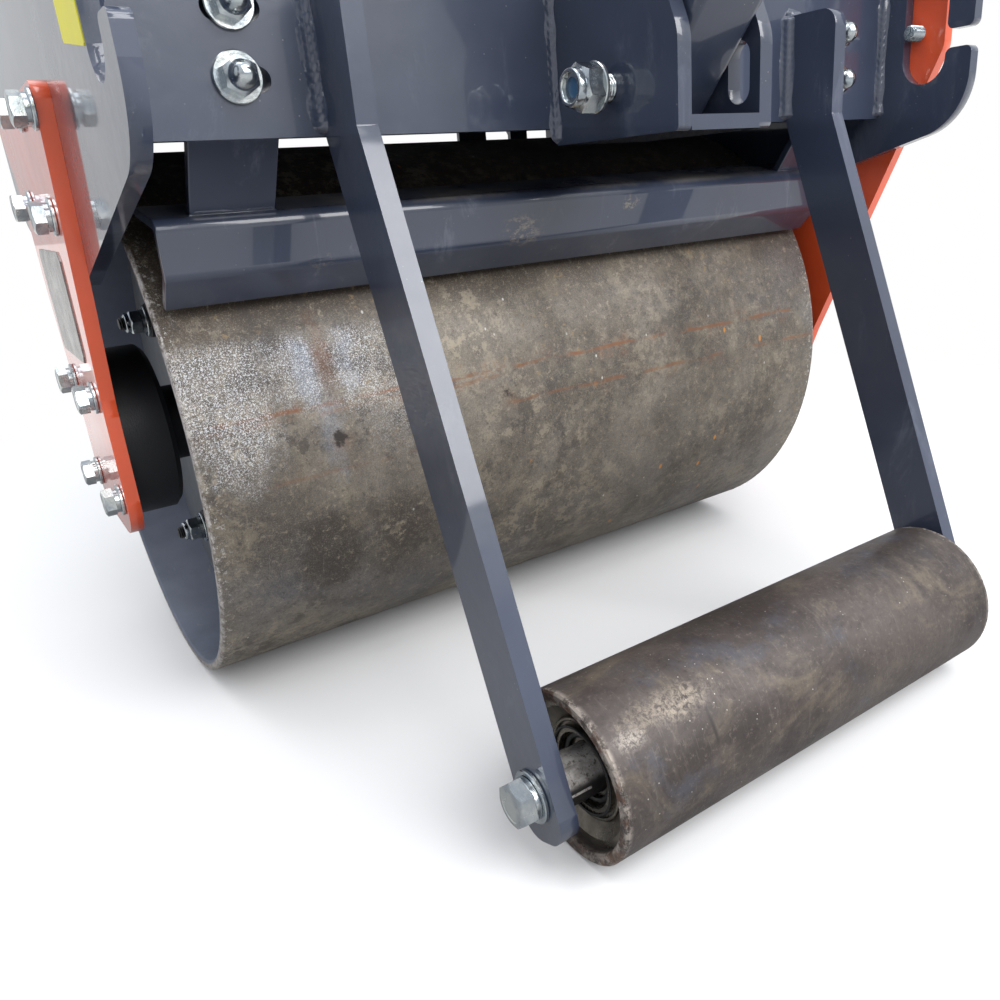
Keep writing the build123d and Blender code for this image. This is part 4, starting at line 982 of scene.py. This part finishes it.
class ROLLER_OT_carrier_bolts(bpy.types.Operator):
    """Hexagon bolts of both carrier plates, with the thread seen in the hook slot"""

    bl_idname = "roller.carrier_bolts"
    bl_label = "Carrier bolts"

    def execute(self, context):
        flats = context.scene.roller_fasteners.flats
        left_x = about_drum(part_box("carrier_left")[0])[0]
        right_x = about_drum(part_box("carrier_right")[1])[0]
        parts = []
        for y, z, turn in CARRIER_LEFT_BOLTS:
            parts += hex_bolt((left_x, y, z), (-1, 0, 0), turn, flats)
        make_piece("carrier_bolts_left", "frame", parts)
        parts = []
        for y, z, turn in CARRIER_RIGHT_BOLTS:
            parts += hex_bolt((right_x, y, z), (1, 0, 0), turn, flats)
            if y < HOOK_REAR:
                end = (thread(6.0, 14.0, 1.75), "zinc")
                parts += fitted((right_x - PLATE_T, y, z), (-1, 0, 0), end)
        make_piece("carrier_bolts_right", "frame", parts)
        return {"FINISHED"}


# Thickness of the scraper post's tab, between the cross plate and the bolt heads
TAB_T = 6.2
CAP_NUTS = (
    # x, z, turn
    (-234.6, 461.0, 12.0),
    (-236.6, 427.0, 3.0),
    (241.0, 460.0, 20.0),
    (241.0, 427.0, 8.0),
)


class ROLLER_OT_cap_nuts(bpy.types.Operator):
    """Cap nuts with washers in the slots of the rear cross plate"""

    bl_idname = "roller.cap_nuts"
    bl_label = "Cap nuts"

    def execute(self, context):
        flats = context.scene.roller_fasteners.dome_flats
        low, high = map(about_drum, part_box("rear_cross_plate"))
        face, back = low[1], high[1] + TAB_T
        parts = []
        for x, z, turn in CAP_NUTS:
            nut = ((washer(12.8, 2.4), "zinc"), (dome_nut(flats, 6.8, 2.4), "zinc"))
            parts += fitted((x, face, z), (0, -1, 0), *nut, turn=turn)
            parts += fitted((x, back, z), (0, -1, 0), (rod(5.8, 0, PLATE_T + TAB_T, 24), "zinc"))
            parts += hex_bolt((x, back, z), (0, 1, 0), turn, flats, stack=False)
        make_piece("cap_nuts", "frame", parts)
        return {"FINISHED"}


class ROLLER_OT_axle_bolts(bpy.types.Operator):
    """Bolts that hold the support roller's axle, with their washers"""

    bl_idname = "roller.axle_bolts"
    bl_label = "Axle bolts"

    def execute(self, context):
        flats = context.scene.roller_fasteners.axle_flats
        for side, way, turn in (("left", -1, 12.0), ("right", 1, 27.0)):
            low, high = map(about_drum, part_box(f"roller_bolt_{side}"))
            arm_low, arm_high = map(about_drum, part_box(f"arm_{side}"))
            face = arm_low[0] if way < 0 else arm_high[0]
            place = (face, *(low + high)[1:] / 2)
            forms = (washer(15.5, 2.6), spring_washer(12.6, 3.0, 2.8, 8.2), rod(9.6, 2.6, 5.8, 32),
                     hex_head(flats, 9.2, 5.8, 0.35), rod(7.9, -34, 0, 32))
            parts = fitted(place, (way, 0, 0), *((form, "zinc") for form in forms), turn=turn)
            piece = make_piece(f"axle_bolt_{side}", "frame", parts)
            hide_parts(f"roller_bolt_{side}")
        return {"FINISHED"}


# Half the width over the handle bracket's cheeks
BRACKET_HALF = 37.0


class ROLLER_OT_pivot_bolt(bpy.types.Operator):
    """Pivot bolt of the handle, with its lock nut, washer and threaded end"""

    bl_idname = "roller.pivot_bolt"
    bl_label = "Pivot bolt"

    def execute(self, context):
        low, high = map(about_drum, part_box("pivot_bolt"))
        y, z = (low + high)[1:] / 2
        cheek = about_drum(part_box("handle_bracket")[0])[0]
        nut_high, washer_thick = 17.0, 2.6
        washer_at = low[0] + nut_high - 1.0
        nut_at = washer_at - washer_thick
        left_way = (-1, 0, 0)
        ring = lathe(nut_high - np.array((5.2, 3.6, 2.6, 2.6, 5.2)), [8.6, 9.6, 9.2, 7.6, 7.4], 40)
        core = lathe([0, 0, nut_high - 5.0, nut_high - 3.8, nut_high - 3.8], [0, 7.7, 7.7, 6.9, 0], 32)
        threads = thread(7.9, cheek - washer_at, 2.0, depth=0.045)
        parts = fitted((nut_at, y, z), left_way, (lock_nut(24.0, nut_high), "zinc"), turn=8)
        parts += fitted((washer_at, y, z), left_way, (washer(14.2, washer_thick, bore=8.0), "zinc"))
        parts += fitted((nut_at, y, z), left_way, (ring, "nylon"), (core, "nylon"))
        parts += fitted((cheek, y, z), left_way, (threads, "zinc"))
        parts += fitted((-cheek, y, z), left_way, (rod(7.9, 0, -2 * cheek, 32), "zinc"))
        parts += hex_bolt((BRACKET_HALF, y, z), (1, 0, 0), 12, 24.0,
                          high[0] - BRACKET_HALF - washer_thick, stack=False)
        piece = make_piece("handle_pivot_bolt", "frame", parts)
        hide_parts("pivot_bolt")
        return {"FINISHED"}


# Distance of the drum's studs from its axle, and the angles at which they stand
DRUM_NUT_R = 122.0
DRUM_NUT_ANGLES = (-66.0, 36.0, 148.0, 222.0)


class ROLLER_OT_drum_nuts(bpy.types.Operator):
    """Studs and lock nuts on the drum's webs, four on each side"""

    bl_idname = "roller.drum_nuts"
    bl_label = "Drum nuts"

    def execute(self, context):
        for side, way in (("left", -1), ("right", 1)):
            low, high = map(about_drum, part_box(f"drum_web_{side}"))
            face = low[0] if way < 0 else high[0]
            parts = []
            for degrees in DRUM_NUT_ANGLES:
                turn = math.radians(degrees)
                y = DRUM_NUT_R * math.cos(turn)
                z = DRUM_R * 1000 + DRUM_NUT_R * math.sin(turn)
                parts += fitted(
                    (face, y, z), (way, 0, 0),
                    (lathe([-0.5, -0.5, 6.0, 7.0, 7.0], [0, 15.0, 15.0, 14.0, 0], 40), "seal"),
                    (washer(13.8, 2.4, 7.0), "zinc"), (spring_washer(10.6, 2.6, 9.5, 6.0), "zinc"),
                    (lock_nut(19.0, 13.0, 12.4), "zinc"), (thread(6.0, 30.0, 1.75), "iron"),
                    turn=degrees)
            make_piece(f"drum_nuts_{side}", "drum", parts)
        return {"FINISHED"}


# Rings inside the ends of the support roller
SEAL_RINGS = (
    # inner radius, outer radius, height from the face, finish
    (29.0, 31.0, -4.6, "housing"),
    (25.6, 27.4, -2.2, "seal"),
    (22.8, 24.4, -4.4, "seal"),
    (18.0, 21.6, -7.0, "seal"),
)


class ROLLER_OT_roller_seals(bpy.types.Operator):
    """Seal rings and bearing faces inside the ends of the support roller"""

    bl_idname = "roller.roller_seals"
    bl_label = "Support roller seals"

    def execute(self, context):
        low, high = map(about_drum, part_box("roller_tube"))
        y, z = (low + high)[1:] / 2
        wave = np.linspace(0, 2 * np.pi, 13)
        for side, way in (("left", -1), ("right", 1)):
            low, high = map(about_drum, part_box(f"roller_housing_{side}"))
            face = low[0] if way < 0 else high[0]
            rings = []
            for inner, outer, height, finish in SEAL_RINGS:
                middle, half = (inner + outer) / 2, (outer - inner) / 2
                ring = lathe(height + half * 0.7 * np.sin(wave), middle + half * np.cos(wave), 56)
                rings += fitted((face, y, z), (way, 0, 0), (ring, finish))
            make_piece(f"roller_seals_{side}", "support_roller", rings)
        return {"FINISHED"}


# Seams between the scraper posts and the bars below them
SCRAPER_SEAMS = {"rear": (-200.5, 363.0), "front": (168.3, 367.5)}
SCRAPER_FEET = (
    # bar, side on which the bead lies, from x, to x
    ("rear", 1, -262.0, -212.0),
    ("rear", 1, 233.0, 283.0),
    ("front", -1, -161.0, -126.0),
    ("front", -1, 126.0, 161.0),
)


# Blank plates and labels: body face x, outline in (y, z), thickness, corner cut, finish
BLANKS = (
    ("side_label_left", -307.5, ((-271.0, 437.0), (-218.0, 446.0), (-218.0, 502.0), (-271.0, 493.0)),
     0.5, 1.5, "tag"),
    ("carrier_plate_left", -317.0, ((-59.0, 344.0), (60.0, 344.0), (60.0, 267.0), (-52.0, 267.0)),
     1.0, 6.0, "blank"),
)


def thin_plate(outline, thickness, corner):
    """Thin plate on local Z = 0 with cut corners: the outline in local X and Y, taken
    round again a little higher and narrower for a soft edge, closed at both ends."""
    outline = np.array(outline, float)
    before, after = np.roll(outline, 1, 0) - outline, np.roll(outline, -1, 0) - outline
    cuts = [outline + way / np.linalg.norm(way, axis=1)[:, None] * corner for way in (before, after)]
    ring = np.stack(cuts, 1).reshape(-1, 2)
    middle = ring.mean(0)
    inner = middle + (ring - middle) * (1 - 0.3 * thickness / np.abs(ring - middle).max())
    layers = [(middle + 0 * ring, 0), (ring, 0), (ring, thickness * 0.7), (inner, thickness),
              (middle + 0 * ring, thickness)]
    points = np.concatenate([np.column_stack([flat, np.full(len(ring), high)]) for flat, high in layers])
    return points, grid_faces(len(layers), len(ring), wrap_cols=True)


class ROLLER_OT_blanks(bpy.types.Operator):
    """Blank label on the side plate and blank metal plate on the carrier"""

    bl_idname = "roller.blanks"
    bl_label = "Blank plates"

    def execute(self, context):
        for name, x, outline, thickness, corner, finish in BLANKS:
            points, faces = thin_plate(outline, thickness, corner)
            points = np.column_stack([x - points[:, 2], points[:, 0], points[:, 1]])
            make_piece(name, "frame", [((points, faces), finish)])
        return {"FINISHED"}


# Ends of the seams: the arms' faces in x, and heights in z
ARM_INNER, ARM_OUTER = 182.0, 194.0
ARM_TOP = 470.0
CROSS_TOP = 530.0
UNDER_DECK = 519.0
FRONT_LOW = 436.0
CHEEK_LOW, CHEEK_TOP = 389.0, 496.0


def upright_weld(x, y, low, high, across, along, size):
    """Weld up a corner at x and y: its two plates lie along X and Y, the ways given."""
    return (x, y, low), (x, y, high), (across, 0, 0), (0, along, 0), size


def level_weld(start, end, y, z, along, size):
    """Weld along X on an edge at y and z: its two plates lie up and along Y."""
    return (start, y, z), (end, y, z), (0, 0, 1), (0, along, 0), size


def welded(name, body, beads, seed):
    """One piece of all the beads; each bead wanders in its own way."""
    surfaces = [(weld_bead(*bead, seed + k), "frame_paint") for k, bead in enumerate(beads)]
    make_piece(name, body, surfaces, smooth=60)


class ROLLER_OT_welds(bpy.types.Operator):
    """Fillet welds of the frame, the arms, the bracket and the scraper posts"""

    bl_idname = "roller.welds"
    bl_label = "Weld beads"

    def execute(self, context):
        settings = context.scene.roller_welds
        leg = settings.leg
        _, cross_y, low = about_drum(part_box("rear_cross_plate")[0]) + (0, 0, 1)
        front_y = about_drum(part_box("front_cross_plate")[1])[1] - PLATE_T
        side_x = about_drum(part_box("side_plate_right")[0])[0]
        beads = []
        for way in (-1, 1):
            side, cheek = way * side_x, way * BRACKET_HALF
            beads += [
                upright_weld(way * ARM_INNER, cross_y, low, ARM_TOP + 1, -way, -1, leg),
                upright_weld(way * ARM_OUTER, cross_y, low, ARM_TOP + 1, way, -1, leg),
                level_weld(way * (ARM_INNER - 2), way * (ARM_OUTER + 2), cross_y, ARM_TOP, -1, leg * 0.9),
                upright_weld(side, cross_y, low, CROSS_TOP - 1, -way, -1, leg * 0.9),
                upright_weld(side, cross_y + PLATE_T, low, UNDER_DECK, -way, 1, leg * 0.7),
                upright_weld(cheek, cross_y, CHEEK_LOW, CHEEK_TOP - 1, way, -1, leg * 0.75),
                upright_weld(side, front_y, FRONT_LOW, UNDER_DECK, -way, -1, leg * 0.8),
            ]
        for start, end in ((-36.0, -28.0), (28.0, 36.0)):
            beads.append(level_weld(start, end, cross_y, CHEEK_TOP, -1, 5.0))
        for name, turn, near, far in SCRAPER_FEET:
            beads.append(level_weld(near, far, *SCRAPER_SEAMS[name], -turn, 3.6))
        welded("weld_beads", "frame", beads, settings.seed)
        return {"FINISHED"}


def corners(name):
    """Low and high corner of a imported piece's box, in millimetres about the drum."""
    low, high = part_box(name)
    return about_drum(low), about_drum(high)


def knob(radius, height):
    """Turned knob: a straight skirt and a softly domed top."""
    return lathe([0, 0, height * 0.7, height * 0.9, height, height],
                 [0, radius, radius * 0.96, radius * 0.86, radius * 0.6, 0], 36)


def hose(places, radius, count=60):
    """Tube of even radius on a smooth curve through the places."""
    return tube(smooth_path(places, count), radius, 16)


# Lean of the cylinder, and how far its head and the plug's elbow are from the crankshaft
CYLINDER_LEAN = math.radians(15.0)
PLUG_START, PLUG_BEND = 174.0, 198.0


class ROLLER_OT_engine_fittings(bpy.types.Operator):
    """Starter grip, filter knob, silencer guard, plug lead, oil plugs and cover bolts"""

    bl_idname = "roller.engine_fittings"
    bl_label = "Engine fittings"

    def execute(self, context):
        low, high = corners("fan_shroud")
        x, y, z = (low + high) / 2
        rim = (high[2] - low[2]) / 2 - 5
        turn = math.radians(135)
        out = np.array((0.0, math.cos(turn), math.sin(turn)))
        crank = np.array((0.0, y, z))
        start = crank + (x, 0, 0) + out * (rim - 4)
        bar = start + out * 19
        places = [bar + (shift, 0, 0) for shift in (-22, -16, 0, 16, 22)]
        grip = tube(places, [4.5, 7.5, 8.2, 7.5, 4.5], 18)
        parts = [(grip, "black"), (tube([start, bar], 4.0), "black")]
        parts += fitted(start, out, (washer(10.0, 7.0), "seal"))
        face = corners("recoil_cover")[0][0]
        parts += fitted((face, y, z), (-1, 0, 0), (knob(22.0, 3.0), "cover"))
        make_piece("starter_grip", "frame", parts)

        low, high = corners("air_cleaner")
        across, along = (low + high)[:2] / 2
        parts = fitted((across, along, high[2]), (0, 0, 1), (washer(16.0, 2.0), "zinc"))
        parts += fitted((across, along, high[2] + 2), (0, 0, 1), (knob(12.0, 12.0), "black"))
        make_piece("filter_knob", "frame", parts)

        low, high = corners("silencer")
        near, far, top = low[1] + 14, high[1] - 36, high[2] + 6
        left, right = low[0] + 10, high[0] - 10
        bars = []
        for y_bar in np.linspace(near, far, 7):
            bars.append(tube([(left, y_bar, top), (right, y_bar, top)], 2.2))
        for x_bar in (left, right):
            bars.append(tube([(x_bar, near, top), (x_bar, far, top)], 2.6))
            for y_foot in (near + 14, far - 14):
                bars.append(tube([(x_bar, y_foot, top), (x_bar, y_foot, top - 14)], 2.6))
        make_piece("silencer_guard", "frame", [(surface, "heat") for surface in bars])

        ahead = np.array((0.0, math.cos(CYLINDER_LEAN), math.sin(CYLINDER_LEAN)))
        elbow = crank + ahead * PLUG_BEND
        cap = hose([crank + ahead * PLUG_START, crank + ahead * (PLUG_BEND - 8), elbow + (-8, 0, 4),
                    elbow + (-26, 0, 8)], 7.5, 24)
        lead = hose([elbow + (-20, 0, 7), elbow + (-54, 2, 14), (-100, y + 168, z + 56),
                     (x, y + 122, z + 46), (x, y + 80, z + 42)], 3.4)
        make_piece("plug_lead", "frame", [(cap, "seal"), (lead, "seal")])

        low, high = corners("crankcase")
        side, plug = high[0], (y + 76, z - 66)
        parts = fitted((side, *plug), (1, 0, 0), (washer(13.0, 3.0), "seal"))
        parts += fitted((side + 3, *plug), (1, 0, 0), (knob(11.0, 13.0), "tag"))
        parts += hex_bolt((-46.0, low[1], z - 74), (0, -1, 0), 11, 17.0, 7.0, stack=False)
        for degrees in range(20, 380, 60):
            turn = math.radians(degrees)
            place = (side, y + 80 * math.cos(turn), z + 80 * math.sin(turn))
            parts += hex_bolt(place, (1, 0, 0), degrees, 10.0, 5.0, stack=False)
        make_piece("case_plugs", "frame", parts)
        return {"FINISHED"}


# Places that the two drive hoses pass on their way from the pump to the drive cover
HOSE_PLACES = (
    # x, z, y of the first, y of the second
    (175.0, 676.0, -75.0, -45.0),
    (178.0, 706.0, -76.0, -42.0),
    (214.0, 720.0, -80.0, -36.0),
    (270.0, 688.0, -74.0, -28.0),
    (318.0, 600.0, -60.0, -10.0),
    (338.0, 480.0, -44.0, 8.0),
    (341.0, 380.0, -30.0, 20.0),
    (341.0, 296.0, -24.0, 24.0),
)


# Thickness of the lifting bow's feet
BOW_FOOT_T = 10.0


class ROLLER_OT_deck_fittings(bpy.types.Operator):
    """Bolts of the lifting bow and hoses from the pump to the drive cover"""

    bl_idname = "roller.deck_fittings"
    bl_label = "Deck fittings"

    def execute(self, context):
        low, high = corners("lifting_bow")
        middle, foot_top = (low[1] + high[1]) / 2, low[2] + BOW_FOOT_T
        parts = []
        for way in (-1, 1):
            for k, shift in enumerate((-33, 33)):
                place = (way * (high[0] - 46), middle + shift, foot_top)
                parts += hex_bolt(place, (0, 0, 1), 9 + 17 * k + 5 * way, 16.0)
        make_piece("bow_bolts", "frame", parts)
        parts = []
        for column in (2, 3):
            path = [(row[0], row[column], row[1]) for row in HOSE_PLACES]
            parts.append((hose(path, 8.5, 120), "seal"))
            for (x, y, z), lift in ((path[0], 2.0), (path[-1], 7.0)):
                parts += fitted((x, y, z + lift), (0, 0, 1), (hex_head(22.0, 9.0), "zinc"), turn=14)
                parts += fitted((x, y, z + lift + 8), (0, 0, 1), (washer(10.2, 16.0), "zinc"))
        make_piece("drive_hoses", "frame", parts)
        return {"FINISHED"}


# The sprinkler pipe's middle in y, in millimetres about the drum
PIPE_Y = 206.0


class ROLLER_OT_water_fittings(bpy.types.Operator):
    """Hose from the water tank to the sprinkler pipe with its ends, and the pipe's end caps"""

    bl_idname = "roller.water_fittings"
    bl_label = "Water fittings"

    def execute(self, context):
        low, high = corners("spray_pipe")
        tank_low, tank_high = corners("water_tank")
        pipe_z = low[2] + 11
        parts = []
        for x, way in ((low[0], -1), (high[0], 1)):
            parts += fitted((x, PIPE_Y, pipe_z), (way, 0, 0), (hex_head(26.0, 7.0), "zinc"), turn=13)
        make_piece("sprinkler_caps", "frame", parts)
        side, y, z = tank_high[0], (tank_low[1] + tank_high[1]) / 2, tank_low[2] + 34
        path = [(side, y, z), (side + 24, y, z - 2), (side + 36, y - 11, z - 30),
                (side + 36, y - 43, pipe_z + 28), (side + 28, PIPE_Y + 12, pipe_z + 18),
                (side + 25, PIPE_Y, pipe_z + 8)]
        parts = [(hose(path, 6.0, 80), "seal")]
        parts += fitted((side, y, z), (1, 0, 0), (hex_head(24.0, 7.0), "black"), turn=5)
        parts += fitted((side + 2, y, z), (1, 0, 0), (washer(8.4, 16.0), "black"))
        parts += fitted((side + 25, PIPE_Y, pipe_z + 7), (0, 0, 1), (washer(8.0, 12.0), "zinc"))
        make_piece("water_hose", "frame", parts)
        return {"FINISHED"}


# The handle at rest: its pivot, the lean of its drawbar, and the console's top over the bar
HANDLE_PIVOT = np.array((0.0, -306.0, 416.0))
HANDLE_LEAN = math.radians(48.0)
BAR_UP = np.array((0.0, -math.cos(HANDLE_LEAN), math.sin(HANDLE_LEAN)))
BAR_OVER = np.array((0.0, math.sin(HANDLE_LEAN), math.cos(HANDLE_LEAN)))
CONSOLE_TOP = 80.8
CABLE_PLACES = (
    # x, up the bar, over its middle
    (12, 324, 34), (12, 300, 31), (8, 220, 29.5), (8, 130, 29.5), (8, 102, 28), (8, 92, 20),
)


def on_bar(x, up, over):
    """Place at x, so far up the drawbar from its pivot, and so far over its middle."""
    return HANDLE_PIVOT + BAR_UP * up + BAR_OVER * over + (x, 0, 0)


class ROLLER_OT_handle_fittings(bpy.types.Operator):
    """Boots and screws of the console, its cable with clips, welds of the hoop"""

    bl_idname = "roller.handle_fittings"
    bl_label = "Handle fittings"

    def execute(self, context):
        steps = np.linspace(0, 1, 25)
        folds = 18 - 6 * steps + 1.4 * np.cos(steps * 8 * np.pi)
        boot = lathe(np.concatenate([[0], 13 * steps, [13]]), np.concatenate([[0], folds, [0]]), 40)
        parts = []
        for x in (-38.0, 38.0):
            parts += fitted(on_bar(x, 375, CONSOLE_TOP - 0.3), BAR_OVER, (boot, "seal"))
        for x in (-56.0, 56.0):
            for up in (335.0, 415.0):
                parts += fitted(on_bar(x, up, CONSOLE_TOP), BAR_OVER, (hex_head(7.0, 2.6), "zinc"), turn=x)
        parts += fitted(on_bar(0, 345, CONSOLE_TOP), BAR_OVER, (knob(9.0, 9.0), "carrier_paint"))
        make_piece("console_fittings", "handle", parts)

        path = [on_bar(*place) for place in CABLE_PLACES]
        parts = [(hose(path, 4.2, 70), "seal")]
        parts += fitted(on_bar(8, 94, 25), BAR_OVER, (washer(8.5, 2.5), "seal"))
        for up in (150.0, 240.0):
            parts += fitted(on_bar(8, up, 29.5), BAR_OVER, (rounded_slab((30.0, 9.0, 10.0), 2.5), "tie"))
        make_piece("drawbar_cable", "handle", parts)

        beads = []
        for way in (-1, 1):
            for over in (-1, 1):
                ends = (on_bar(way * 25.0, up, over * 6) for up in (302, 428))
                beads.append((*ends, (way, 0, 0), BAR_OVER * over, 6.0))
        welded("handle_welds", "handle", beads, 40)
        return {"FINISHED"}


# Half the floor's width, in metres
FLOOR_HALF = 14.0


class ROLLER_OT_stage(bpy.types.Operator):
    """Plain floor, even sky, large soft lamps and the camera of the photograph"""

    bl_idname = "roller.stage"
    bl_label = "Stage"

    def execute(self, context):
        scene, settings = context.scene, context.scene.roller_stage
        scene.view_settings.view_transform = "Standard"
        half = FLOOR_HALF
        floor_corners = [(-half, -half, 0), (half, -half, 0), (half, half, 0), (-half, half, 0)]
        mesh = bpy.data.meshes.new("floor")
        mesh.from_pydata(floor_corners, [], [(0, 1, 2, 3)])
        floor = bpy.data.objects.new("floor", mesh)
        scene.collection.objects.link(floor)
        f = Finish("floor", roughness=0.9, specular=0.1)
        ray = f.add("LightPath").outputs
        seen = f.calc("MAXIMUM", ray["Is Camera Ray"], ray["Is Glossy Ray"])
        seen = f.calc("MAXIMUM", seen, ray["Is Transmission Ray"])
        pale = tuple(settings.floor_colour)
        plain = f.mix(f.noise(1.5, 2.0), pale, tuple(c * 0.985 for c in pale))
        f.set("Base colour", f.mix(ray["Is Camera Ray"], settings.bounce_colour[:], plain))
        fade = f.step(f.away(0, -60, 0), settings.fade_start * 1000, settings.fade_end * 1000)
        white = f.add("Emission").outputs[0]
        f.link(f.blend(f.both(seen, fade), f.surface.outputs[0], white),
               f.tree.nodes["Material Output"].inputs[0])
        mesh.materials.append(f.material)

        world = bpy.data.worlds.new("even_sky")
        scene.world = world
        world.use_nodes = True
        w = Nodes(world.node_tree, "Generated")
        rise = w.add("MapRange")
        w.link(w.coordinate("Z"), rise.inputs["Value"])
        rise.inputs["From Max"].default_value = 0.9
        sky = w.add("Background")
        w.link(w.mix(rise.outputs[0], (0.62, 0.63, 0.64), (1.18, 1.22, 1.30)), sky.inputs["Color"])
        sky.inputs["Strength"].default_value = settings.sky
        white = w.add("Background")
        w.link((1.0, 1.0, 1.0), white.inputs["Color"])
        seen = w.add("LightPath").outputs["Is Camera Ray"]
        w.link(w.blend(seen, sky.outputs[0], white.outputs[0]), w.add("OutputWorld").inputs[0])

        for name, place, aim, width, power in (
            ("key_lamp", (350, -1750, 1600), (0, -150, 250), 1.8, settings.key),
            ("top_lamp", (-500, 300, 2300), (0, 0, 400), 1.6, settings.key * 0.35),
        ):
            data = bpy.data.lights.new(name, "AREA")
            data.size = width
            data.energy = power
            lamp = bpy.data.objects.new(name, data)
            lamp.location = at(*place)
            lamp.rotation_euler = (at(*aim) - at(*place)).to_track_quat("-Z", "Y").to_euler()
            scene.collection.objects.link(lamp)

        turn, dip, roll = (math.radians(v) for v in (CAMERA_TURN, CAMERA_DIP, CAMERA_ROLL))
        ahead = Vector((math.sin(turn) * math.cos(dip), math.cos(turn) * math.cos(dip), -math.sin(dip)))
        level = Vector((math.cos(turn), -math.sin(turn), 0))
        over = level.cross(ahead)
        right = level * math.cos(roll) + over * math.sin(roll)
        up = over * math.cos(roll) - level * math.sin(roll)
        data = bpy.data.cameras.new("camera")
        data.sensor_width = 36.0
        data.lens = CAMERA_FOCAL / IMAGE_SIZE * data.sensor_width
        data.shift_x = (IMAGE_SIZE / 2 - CAMERA_MIDDLE[0]) / IMAGE_SIZE
        data.shift_y = (CAMERA_MIDDLE[1] - IMAGE_SIZE / 2) / IMAGE_SIZE
        data.clip_start, data.clip_end = 0.01, 100.0
        camera = bpy.data.objects.new("camera", data)
        scene.collection.objects.link(camera)
        turned = Matrix((right, up, -ahead)).transposed()
        camera.matrix_world = Matrix.Translation(at(*CAMERA_AT)) @ turned.to_4x4()
        scene.camera = camera
        return {"FINISHED"}


STEPS = (
    ROLLER_OT_finishes, ROLLER_OT_carrier_bolts, ROLLER_OT_cap_nuts, ROLLER_OT_axle_bolts,
    ROLLER_OT_pivot_bolt, ROLLER_OT_drum_nuts, ROLLER_OT_roller_seals, ROLLER_OT_blanks,
    ROLLER_OT_welds, ROLLER_OT_engine_fittings, ROLLER_OT_deck_fittings, ROLLER_OT_water_fittings,
    ROLLER_OT_handle_fittings, ROLLER_OT_stage,
)
GROUPS = (
    ("roller_paint", RollerPaint), ("roller_fasteners", RollerFasteners),
    ("roller_welds", RollerWelds), ("roller_stage", RollerStage),
)


class ROLLER_PT_dressing(bpy.types.Panel):
    """Lists the settings and the steps in the sidebar"""

    bl_label = "Roller dressing"
    bl_idname = "ROLLER_PT_dressing"
    bl_space_type = "VIEW_3D"
    bl_region_type = "UI"
    bl_category = "Roller"

    def draw(self, context):
        for name, group in GROUPS:
            box = self.layout.box()
            settings = getattr(context.scene, name)
            for key in group.__annotations__:
                box.prop(settings, key)
        for step in STEPS:
            self.layout.operator(step.bl_idname)


def register():
    for name, group in GROUPS:
        bpy.utils.register_class(group)
        setattr(bpy.types.Scene, name, PointerProperty(type=group))
    for step in STEPS:
        bpy.utils.register_class(step)
    bpy.utils.register_class(ROLLER_PT_dressing)


def unregister():
    bpy.utils.unregister_class(ROLLER_PT_dressing)
    for step in reversed(STEPS):
        bpy.utils.unregister_class(step)
    for name, group in reversed(GROUPS):
        delattr(bpy.types.Scene, name)
        bpy.utils.unregister_class(group)


def main():
    register()
    for step in STEPS:
        family, name = step.bl_idname.split(".")
        getattr(getattr(bpy.ops, family), name)()


if __name__ == "__main__":
    main()
